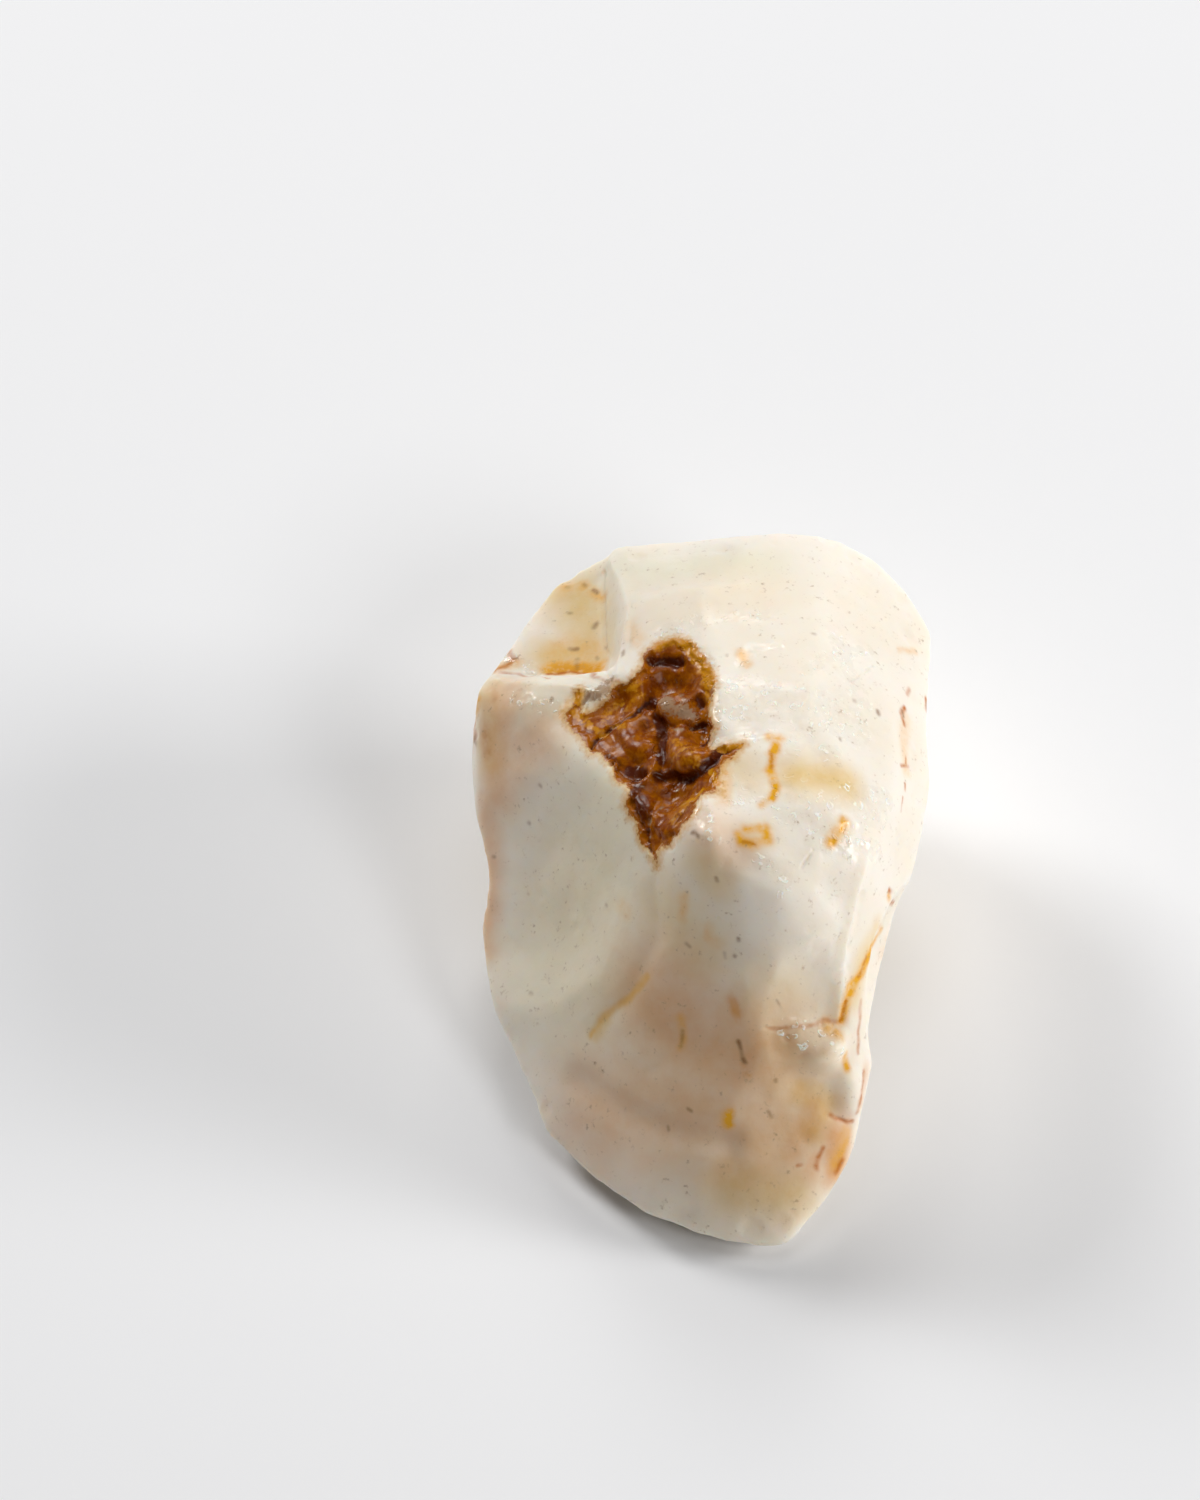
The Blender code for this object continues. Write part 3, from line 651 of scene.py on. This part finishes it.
def cut_cracks(skin):
    """Narrow wandering cracks with steep sides."""
    press = np.zeros(len(skin.points))
    wander = CRACK_WANDER * uneven(skin.points, CRACK_WANDER_SPACING, 21.0)
    for pixels, width, depth in CRACKS.values():
        away = distance_to_line(skin.points, skin.land(pixels)) + wander
        press = np.maximum(press, depth * np.clip(1 - np.abs(away) / (width / 2), 0, 1))
    skin.press(press)


def swell(skin):
    """Adds the soft swells and hollows."""
    press = np.zeros(len(skin.points))
    for pixels, width, height in SWELLS.values():
        press -= height * soft(distance_to_line(skin.points, skin.land(pixels)) / (2 * width))
    skin.press(press)


def sharpen_crests(skin):
    """Raises the lines where two faces meet crisply."""
    rise = np.zeros(len(skin.points))
    for pixels, width, height in CRESTS.values():
        share = distance_to_line(skin.points, skin.land(pixels)) / (width / 2)
        rise = np.maximum(rise, height * np.clip(1 - share, 0, 1) ** 1.4)
    skin.press(-rise)


def ripple_scars(skin):
    """The faint rings that a struck flake leaves, which fade away from the blow."""
    press = np.zeros(len(skin.points))
    for pixel, reach, spacing, height in RIPPLES.values():
        struck = skin.land([pixel])[0]
        away = np.linalg.norm(skin.points - struck, axis=1)
        bend = RIPPLE_WANDER * uneven(skin.points, RIPPLE_WANDER_SPACING, spacing)
        press += height * np.sin(2 * math.pi * (away + bend) / spacing) * soft(np.abs(away / reach * 2 - 1))
    skin.press(press)


def strike_chip(points, spot, width, depth):
    """How deep a shallow chip cuts at each point, with a crisp rim."""
    share = np.linalg.norm(points - spot, axis=1) / (width / 2)
    return depth * np.clip(1 - share * share, 0, 1)


def nick_lines(skin, chance):
    """Small chips along the stone's edges, where knocks take them off."""
    press = np.zeros(len(skin.points))
    for pixels, count, widest, deepest in NICKED_LINES.values():
        line = skin.land(pixels)
        for _ in range(count):
            run = chance.integers(len(line) - 1)
            share = chance.random()
            spot = line[run] * (1 - share) + line[run + 1] * share + chance.normal(0, NICK_SCATTER, 3)
            size = chance.uniform(SMALLEST_NICK_SHARE, 1.0)
            chip = strike_chip(skin.points, spot, widest * size, deepest * size)
            press = np.maximum(press, chip)
    skin.press(press)


def set_mark(mesh, name, values):
    mark = mesh.attributes.get(name) or mesh.attributes.new(name, "FLOAT", "POINT")
    mark.data.foreach_set("value", values.astype(np.float32))


def chipped(skin):
    """Where chips crowd: most in the chipped patches, and a few all over."""
    share = np.full(len(skin.points), CHIPPED_EVERYWHERE)
    for pixels, width, full in CHIPPED_PATCHES:
        away = distance_to_line(skin.points, skin.land(pixels))
        share = np.maximum(share, full * soft(away / (width * PATCH_SPREAD_SHARE)))
    return share


def plain_weights(stone, sight):
    """Marks where the skin is plain, so that thinning keeps the fine points at marks, chips and the pit."""
    skin = Skin(stone.data, sight)
    plain = np.where(pit_share(skin) > -FINE_PIT_REACH, 0.0, 1.0)
    fine_lines = [(pixels, width) for pixels, width, full in CHIPPED_PATCHES]
    fine_lines += [(pixels, width / 2) for pixels, width, depth in CRACKS.values()]
    for kind in ("rust", "dark", "ochre"):
        fine_lines += [(pixels, width) for pixels, width, full in MARKS[kind] if width < WIDEST_FINE_MARK]
    for pixels, width in fine_lines:
        away = distance_to_line(skin.points, skin.land(pixels))
        plain[away < width + FINE_MARGIN] = 0
    group = stone.vertex_groups.new(name="plain")
    group.add(np.flatnonzero(plain > 0).tolist(), 1.0, "REPLACE")
    group.add(np.flatnonzero(plain <= 0).tolist(), FINE_WEIGHT, "REPLACE")


def chip_tree():
    """Geometry nodes: presses small ragged chips into a skin, at random places that don't overlap."""
    tree = bpy.data.node_groups.new("chips", "GeometryNodeTree")
    face = tree.interface
    face.new_socket("Geometry", in_out="INPUT", socket_type="NodeSocketGeometry")
    for name in ("Spacing", "Crowding", "Smallest", "Largest", "Depth share", "Raggedness"):
        face.new_socket(name, in_out="INPUT", socket_type="NodeSocketFloat")
    face.new_socket("Seed", in_out="INPUT", socket_type="NodeSocketInt")
    face.new_socket("Material", in_out="INPUT", socket_type="NodeSocketMaterial")
    face.new_socket("Geometry", in_out="OUTPUT", socket_type="NodeSocketGeometry")
    given = add_node(tree, "NodeGroupInput").outputs
    crowd = add_node(tree, "GeometryNodeInputNamedAttribute", {"Name": "chipped"}, data_type="FLOAT")
    points = add_node(tree, "GeometryNodeDistributePointsOnFaces", {
        "Mesh": given["Geometry"], "Distance Min": given["Spacing"], "Density Max": given["Crowding"],
        "Density Factor": crowd.outputs["Attribute"], "Seed": given["Seed"],
    }, distribute_method="POISSON")
    # the float sockets of Random Value are its third and fourth inputs
    radius = add_node(tree, "FunctionNodeRandomValue", {
        2: given["Smallest"], 3: given["Largest"], "Seed": given["Seed"],
    }, data_type="FLOAT")
    sized = add_node(tree, "GeometryNodeStoreNamedAttribute", {
        "Geometry": points.outputs["Points"], "Name": "radius", "Value": radius.outputs[1],
    }, data_type="FLOAT", domain="POINT").outputs["Geometry"]
    place = add_node(tree, "GeometryNodeInputPosition").outputs["Position"]
    wander = add_node(tree, "ShaderNodeTexNoise", {"Vector": place, "Scale": 2.6, "Detail": 1.0})
    centred = add_node(tree, "ShaderNodeVectorMath", {0: wander.outputs["Color"], 1: (0.5, 0.5, 0.5)},
                       operation="SUBTRACT")
    aside = add_node(tree, "ShaderNodeVectorMath", {0: centred.outputs[0], "Scale": given["Raggedness"]},
                     operation="SCALE")
    ragged = add_node(tree, "ShaderNodeVectorMath", {0: place, 1: aside.outputs[0]}, operation="ADD").outputs[0]
    nearest = add_node(tree, "GeometryNodeSampleNearest", {"Geometry": sized, "Sample Position": ragged},
                       domain="POINT")
    spot = add_node(tree, "GeometryNodeSampleIndex", {
        "Geometry": sized, "Value": place, "Index": nearest.outputs["Index"],
    }, data_type="FLOAT_VECTOR", domain="POINT")
    stored = add_node(tree, "GeometryNodeInputNamedAttribute", {"Name": "radius"}, data_type="FLOAT")
    reach = add_node(tree, "GeometryNodeSampleIndex", {
        "Geometry": sized, "Value": stored.outputs["Attribute"], "Index": nearest.outputs["Index"],
    }, data_type="FLOAT", domain="POINT").outputs["Value"]
    away = add_node(tree, "ShaderNodeVectorMath", {0: ragged, 1: spot.outputs["Value"]}, operation="DISTANCE")
    share = add_node(tree, "ShaderNodeMath", {0: away.outputs["Value"], 1: reach}, operation="DIVIDE")
    square = add_node(tree, "ShaderNodeMath", {0: share.outputs[0], 1: share.outputs[0]}, operation="MULTIPLY")
    bowl = add_node(tree, "ShaderNodeMath", {0: 1.0, 1: square.outputs[0]}, operation="SUBTRACT", use_clamp=True)
    deep = add_node(tree, "ShaderNodeMath", {0: reach, 1: given["Depth share"]}, operation="MULTIPLY")
    fall = add_node(tree, "ShaderNodeMath", {0: bowl.outputs[0], 1: deep.outputs[0]}, operation="MULTIPLY")
    inward = add_node(tree, "ShaderNodeMath", {0: fall.outputs[0], 1: -1.0}, operation="MULTIPLY")
    normal = add_node(tree, "GeometryNodeInputNormal").outputs["Normal"]
    offset = add_node(tree, "ShaderNodeVectorMath", {0: normal, "Scale": inward.outputs[0]}, operation="SCALE")
    struck = add_node(tree, "GeometryNodeSetPosition", {"Geometry": given["Geometry"], "Offset": offset.outputs[0]})
    whole = add_node(tree, "GeometryNodeRealizeInstances", {"Geometry": struck.outputs["Geometry"]})
    finished = add_node(tree, "GeometryNodeSetMaterial", {
        "Geometry": whole.outputs["Geometry"], "Material": given["Material"],
    })
    add_node(tree, "NodeGroupOutput", {"Geometry": finished.outputs["Geometry"]})
    return tree


def set_inputs(modifier, values):
    """Sets a tree's named inputs on its modifier, by each socket's identifier."""
    for socket in modifier.node_group.interface.items_tree:
        if socket.in_out == "INPUT" and socket.name in values:
            modifier[socket.identifier] = values[socket.name]


def strike_chips(stone, sight, settings, material):
    """Strikes the small chips, then thins the mesh where the skin is plain."""
    chips = stone.modifiers.new("chips", "NODES")
    chips.node_group = chip_tree()
    set_inputs(chips, {
        "Spacing": settings.chip_spacing / MM, "Crowding": settings.chip_crowding,
        "Smallest": settings.smallest_chip / MM, "Largest": settings.largest_chip / MM,
        "Depth share": settings.chip_depth_share, "Raggedness": settings.chip_raggedness / MM,
        "Seed": SEED, "Material": material,
    })
    apply_modifiers(stone)
    count = sum(len(face.vertices) - 2 for face in stone.data.polygons)
    if count > settings.triangles:
        plain_weights(stone, sight)
        thin = stone.modifiers.new("thin_out", "DECIMATE")
        thin.ratio = settings.triangles / count
        thin.vertex_group = "plain"
        thin.vertex_group_factor = 1.0
        thin.use_collapse_triangulate = True
        apply_modifiers(stone)
        stone.vertex_groups.clear()


def paint_marks(stone, sight):
    """Writes each kind of stain, tint and painted warm shade on the stone's points, for the material to read."""
    skin = Skin(stone.data, sight)
    set_mark(stone.data, "ironstone", np.clip(pit_share(skin), -FARTHEST_INSIDE, FARTHEST_INSIDE))
    set_mark(stone.data, "chipped", chipped(skin))
    spots = astray(skin.points, STAIN_WANDER, STAIN_WANDER_SPACING)
    for kind, marks in MARKS.items():
        strength = np.zeros(len(skin.points))
        lines = [(skin.land(pixels), width, full) for pixels, width, full in marks]
        lines += [(skin.lay(places), width, full) for places, width, full in FAR_MARKS.get(kind, ())]
        for line, width, full in lines:
            strength = np.maximum(strength, full * soft(distance_to_line(spots, line) / (2 * width)))
        set_mark(stone.data, kind, strength)


def milky_opal(colours):
    """Common opal, broken and weather-worn: milky and a little see-through, so that shade glows warm,
    with a wet gloss that breaks into glints on its chips, and iron and clay stains that sit in the milk.
    White glints on the chips' curled edges are painted into the colour, and so is part of the warm shade
    on the front, left and lower faces."""
    material = bpy.data.materials.new("milky_opal_broken")
    material.use_nodes = True
    tree = material.node_tree
    tree.nodes.clear()
    place = add_node(tree, "ShaderNodeTexCoord").outputs["Object"]
    tints = {name: list(getattr(colours, name)) for name in COLOURS}

    # what the material reads: the stone's marks, and uneven patterns
    values = {}
    for name in ("ironstone", "chipped", *MARKS):
        values[name] = add_node(tree, "ShaderNodeAttribute", attribute_name=name).outputs["Fac"]
    for name, (spacing, detail, roughness, warp, shift) in PATTERNS.items():
        moved = add_node(tree, "ShaderNodeVectorMath", {0: place, 1: (shift, shift / 2, 0)}, operation="ADD")
        values[name] = add_node(tree, "ShaderNodeTexNoise", {
            "Vector": moved.outputs[0], "Scale": 1 / (spacing * MM), "Detail": detail, "Roughness": roughness,
            "Distortion": warp,
        }).outputs["Fac"]

    # an uneven line about 0, which makes the edges of the marks in the pit ragged
    ragged_edge = -(FINE_RAGS + MIDDLING_RAGS) / 2
    for name, amount in (("fine", FINE_RAGS), ("middling", MIDDLING_RAGS)):
        ragged_edge = add_node(tree, "ShaderNodeMath", {0: values[name], 1: amount, 2: ragged_edge},
                               operation="MULTIPLY_ADD").outputs[0]
    for name, amount in RAGGED_MARKS.items():
        values["ragged_" + name] = add_node(tree, "ShaderNodeMath", {0: ragged_edge, 1: amount, 2: values[name]},
                                            operation="MULTIPLY_ADD").outputs[0]

    # how strongly each tint, stain and gloss shows
    for name, (source, low, high, to_low, to_high) in SHARES.items():
        values[name] = add_node(tree, "ShaderNodeMapRange", {
            "Value": values[source], "From Min": low, "From Max": high, "To Min": to_low, "To Max": to_high,
        }, interpolation_type="SMOOTHSTEP").outputs["Result"]
    for name, first, second in PRODUCTS:
        values[name] = add_node(tree, "ShaderNodeMath", {0: values[first], 1: values[second]},
                                operation="MULTIPLY").outputs[0]

    # stains that are mottled where they are deep in the milk
    stained = values["rim"]
    for name, full in STAINS.items():
        mottled = add_node(tree, "ShaderNodeMath", {0: values[name], 1: values["mottle"]}, operation="MULTIPLY")
        stain = add_node(tree, "ShaderNodeMath", {0: mottled.outputs[0], 1: full}, operation="MULTIPLY",
                         use_clamp=True)
        values[name + "_stain"] = stain.outputs[0]
        stained = add_node(tree, "ShaderNodeMath", {0: stained, 1: stain.outputs[0]}, operation="MAXIMUM").outputs[0]
    milky = add_node(tree, "ShaderNodeMapRange", {
        "Value": stained, "From Min": 0.1, "From Max": 0.8, "To Min": 1.0, "To Max": 0.12,
    }, interpolation_type="SMOOTHSTEP").outputs["Result"]

    # curled, broken lines along the edges of small chips: a fine bump, and white glints painted into the colour
    bend = add_node(tree, "ShaderNodeTexNoise", {"Vector": place, "Scale": 1 / (CURL_BEND * MM), "Detail": 1.0})
    aside = add_node(tree, "ShaderNodeVectorMath", {0: bend.outputs["Color"], "Scale": CURL_BEND * MM},
                     operation="SCALE")
    bent = add_node(tree, "ShaderNodeVectorMath", {0: place, 1: aside.outputs[0]}, operation="ADD")
    curls = 0.0
    for spacing, ring, breaks in CURLS:
        cell = add_node(tree, "ShaderNodeTexVoronoi", {"Vector": bent.outputs[0], "Scale": 1 / (spacing * MM)},
                        feature="F1")
        beyond = add_node(tree, "ShaderNodeMath", {0: cell.outputs["Distance"], 1: ring}, operation="SUBTRACT")
        away = add_node(tree, "ShaderNodeMath", {0: beyond.outputs[0]}, operation="ABSOLUTE")
        line = add_node(tree, "ShaderNodeMapRange", {
            "Value": away.outputs[0], "From Min": 0.0, "From Max": CURL_WIDTH / spacing, "To Min": 1.0, "To Max": 0.0,
        }, interpolation_type="SMOOTHSTEP")
        curls = add_node(tree, "ShaderNodeMath", {0: line.outputs["Result"], 1: values[breaks], 2: curls},
                         operation="MULTIPLY_ADD").outputs[0]
    values["curls"] = add_node(tree, "ShaderNodeMath", {0: curls, 1: values["curled"]}, operation="MULTIPLY",
                               use_clamp=True).outputs[0]

    # the pit's colour, then the whole stone's, each tint over the ones before it
    tints["pit"] = tints["iron_gold"]
    for painted, under, layers in (("pit", "pit", PIT_LAYERS), ("stone", "milk", STONE_LAYERS)):
        colour = tints[under]
        for share, tint in layers:
            colour = add_node(tree, "ShaderNodeMix", {0: values[share], 6: colour, 7: tints[tint]},
                              data_type="RGBA").outputs[2]
        tints[painted] = colour

    # a satin skin, and a wet gloss where chips and the pit lay the stone bare
    bare = add_node(tree, "ShaderNodeMath", {0: values["struck"], 1: values["pit_gloss"]}, operation="MAXIMUM")
    roughness = add_node(tree, "ShaderNodeMix", {0: bare.outputs[0], 2: values["satin_gloss"], 3: values["wet_gloss"]},
                         data_type="FLOAT").outputs[0]

    # fine relief: a faint skin all over, curled edges of chips, grains in the pit
    under = {}
    for height, depth in BUMPS.items():
        bump = add_node(tree, "ShaderNodeBump", {
            "Height": values[height], "Distance": depth * MM, "Strength": 1.0, **under,
        })
        under = {"Normal": bump.outputs["Normal"]}

    shader = add_node(tree, "ShaderNodeBsdfPrincipled", {
        "Base Color": tints["stone"], "Roughness": roughness, "IOR": 1.45, "Specular IOR Level": 0.25,
        "Subsurface Weight": milky, "Subsurface Scale": 1.3 * MM, "Subsurface Radius": (1.0, 0.8, 0.6), **under,
    }, subsurface_method="RANDOM_WALK")
    add_node(tree, "ShaderNodeOutputMaterial", {"Surface": shader.outputs["BSDF"]})
    return material


def matt_paper(colour):
    """Matt card, as rolled: an even pale ground that takes soft shadows."""
    material = bpy.data.materials.new("matt_card_rolled")
    material.use_nodes = True
    shader = material.node_tree.nodes["Principled BSDF"]
    shader.inputs["Base Color"].default_value = list(colour)
    shader.inputs["Roughness"].default_value = 0.9
    shader.inputs["Specular IOR Level"].default_value = 0.2
    return material


def soft_light(name, distance, bearing, height, size, power):
    """A square soft white light that faces the stone and that the camera doesn't see. Its bearing runs
    from the back, over the right."""
    light = bpy.data.lights.new(name, "AREA")
    light.shape = "SQUARE"
    light.size = size
    light.energy = power
    lamp = bpy.data.objects.new(name, light)
    level = distance * math.cos(height)
    lamp.location = (level * math.sin(bearing), level * math.cos(bearing), distance * math.sin(height))
    lamp.rotation_euler = (STONE_MIDDLE - lamp.location).to_track_quat("-Z", "Y").to_euler()
    lamp.visible_camera = False
    bpy.context.scene.collection.objects.link(lamp)


class OpalColours(bpy.types.PropertyGroup):
    """The colours of the opal and its stains, with its painted glints and painted warm shade."""

    __annotations__ = {
        name: bpy.props.FloatVectorProperty(
            name=name.replace("_", " ").capitalize(), description=meaning, subtype="COLOR", size=4,
            default=linear(shade))
        for name, (shade, meaning) in COLOURS.items()
    }


class StoneSizes(bpy.types.PropertyGroup):
    """The sizes of the stone's fine relief."""

    fine_grid: bpy.props.FloatProperty(
        name="Fine grid", description="Spacing of the points that the strokes move",
        default=0.1 * MM, unit="LENGTH", precision=6)
    pit_depth: bpy.props.FloatProperty(
        name="Pit depth", description="How deep the iron-stained pit lies below its rim",
        default=0.14 * MM, unit="LENGTH", precision=6)
    wave_height: bpy.props.FloatProperty(
        name="Wave height", description="Height of the skin's soft waves",
        default=0.04 * MM, unit="LENGTH", precision=6)
    chip_spacing: bpy.props.FloatProperty(
        name="Chip spacing", description="Least distance between two small chips",
        default=0.45 * MM, unit="LENGTH", precision=6)
    chip_crowding: bpy.props.FloatProperty(
        name="Chip crowding", description="Most small chips on a square millimetre", default=2.5)
    smallest_chip: bpy.props.FloatProperty(
        name="Smallest chip", description="Least radius of a small chip",
        default=0.25 * MM, unit="LENGTH", precision=6)
    largest_chip: bpy.props.FloatProperty(
        name="Largest chip", description="Greatest radius of a small chip",
        default=0.55 * MM, unit="LENGTH", precision=6)
    chip_depth_share: bpy.props.FloatProperty(
        name="Chip depth", description="Depth of a small chip as a share of its radius",
        default=0.07, subtype="FACTOR")
    chip_raggedness: bpy.props.FloatProperty(
        name="Chip raggedness", description="How far the rim of a small chip wanders",
        default=0.5 * MM, unit="LENGTH", precision=6)
    triangles: bpy.props.IntProperty(
        name="Triangles", description="Triangles of the finished stone", default=192000)


class StageSettings(bpy.types.PropertyGroup):
    """The floor and the lights."""

    floor_size: bpy.props.FloatProperty(
        name="Floor size", description="Side of the square floor", default=6.0, unit="LENGTH")
    floor_colour: bpy.props.FloatVectorProperty(
        name="Floor", description="Colour of the floor", subtype="COLOR", size=4, default=linear("#F0F0F1"))
    sky_strength: bpy.props.FloatProperty(
        name="Room light", description="Strength of the even light of the room", default=0.01)
    light_distance: bpy.props.FloatProperty(
        name="Light distance", description="From the stone to each light", default=0.8, unit="LENGTH")
    top_power: bpy.props.FloatProperty(
        name="Top light", description="Power of the light above", default=0.79, unit="POWER")
    back_power: bpy.props.FloatProperty(
        name="Back light", description="Power of the high light at the back", default=1.7, unit="POWER")
    left_power: bpy.props.FloatProperty(
        name="Left light", description="Power of the light at the back left", default=3.2, unit="POWER")
    right_power: bpy.props.FloatProperty(
        name="Right light", description="Power of the low light at the right", default=3.8, unit="POWER")
    front_power: bpy.props.FloatProperty(
        name="Front light", description="Power of the light at the front right", default=1.6, unit="POWER")


class OPAL_OT_lump(bpy.types.Operator):
    """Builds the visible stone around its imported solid"""

    bl_idname = "opal.lump"
    bl_label = "Opal lump"

    def execute(self, context):
        sizes = context.scene.opal_sizes
        sight = Sight()
        chance = np.random.default_rng(SEED)
        material = milky_opal(context.scene.opal_colours)
        stone = fine_copy(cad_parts[NODE], sizes.fine_grid / MM)
        skin = Skin(stone.data, sight)
        skin.press(sizes.wave_height / MM * uneven(skin.points, WAVE_SPACING, 3.0, octaves=3))
        swell(skin)
        sharpen_crests(skin)
        ripple_scars(skin)
        nick_lines(skin, chance)
        shape_pit(skin, sizes.pit_depth / MM)
        cut_cracks(skin)
        set_mark(stone.data, "chipped", chipped(skin))
        strike_chips(stone, sight, sizes, material)
        paint_marks(stone, sight)
        stone.data.transform(Matrix.Scale(MM, 4))
        stone.data.shade_smooth()
        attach(stone, BODY)
        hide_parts(NODE)
        return {"FINISHED"}


class OPAL_OT_stage(bpy.types.Operator):
    """Sets the floor, the lights and the camera"""

    bl_idname = "opal.stage"
    bl_label = "Stage"

    def execute(self, context):
        scene = context.scene
        settings = scene.opal_stage
        form = bmesh.new()
        bmesh.ops.create_grid(form, x_segments=1, y_segments=1, size=settings.floor_size / 2)
        mesh = bpy.data.meshes.new("floor")
        form.to_mesh(mesh)
        form.free()
        mesh.materials.append(matt_paper(settings.floor_colour))
        floor = bpy.data.objects.new("floor", mesh)
        scene.collection.objects.link(floor)
        for side, (bearing, height, size) in LIGHTS.items():
            power = getattr(settings, side + "_power")
            soft_light(side + "_light", settings.light_distance, math.radians(bearing), math.radians(height), size,
                       power)
        world = bpy.data.worlds.new("soft_room")
        world.use_nodes = True
        sky = world.node_tree.nodes["Background"]
        sky.inputs["Color"].default_value = linear("#FFFFFF")
        sky.inputs["Strength"].default_value = settings.sky_strength
        scene.world = world
        scene.view_settings.view_transform = "Standard"
        sight = Sight()
        lens = bpy.data.cameras.new("photo_camera")
        lens.lens = LENS_MM
        lens.sensor_width = SENSOR_MM
        lens.clip_start = 0.05
        lens.clip_end = 20
        camera = bpy.data.objects.new("photo_camera", lens)
        camera.location = sight.eye * MM
        camera.rotation_euler = (math.pi / 2 - LOOKS_DOWN, 0, 0)
        scene.collection.objects.link(camera)
        scene.camera = camera
        return {"FINISHED"}


class OPAL_PT_panel(bpy.types.Panel):
    """Lists the stone's and the stage's steps"""

    bl_idname = "OPAL_PT_panel"
    bl_label = "Rough opal"
    bl_space_type = "VIEW_3D"
    bl_region_type = "UI"
    bl_category = "Rough opal"

    def draw(self, context):
        for settings, operator in (
            (context.scene.opal_sizes, "opal.lump"),
            (context.scene.opal_colours, None),
            (context.scene.opal_stage, "opal.stage"),
        ):
            box = self.layout.box()
            for name in settings.__annotations__:
                box.prop(settings, name)
            if operator:
                box.operator(operator)


CLASSES = (OpalColours, StoneSizes, StageSettings, OPAL_OT_lump, OPAL_OT_stage, OPAL_PT_panel)


def register():
    for kind in CLASSES:
        bpy.utils.register_class(kind)
    bpy.types.Scene.opal_colours = bpy.props.PointerProperty(type=OpalColours)
    bpy.types.Scene.opal_sizes = bpy.props.PointerProperty(type=StoneSizes)
    bpy.types.Scene.opal_stage = bpy.props.PointerProperty(type=StageSettings)


def unregister():
    del bpy.types.Scene.opal_stage
    del bpy.types.Scene.opal_sizes
    del bpy.types.Scene.opal_colours
    for kind in reversed(CLASSES):
        bpy.utils.unregister_class(kind)


def main():
    register()
    bpy.ops.opal.lump()
    bpy.ops.opal.stage()


if __name__ == "__main__":
    main()
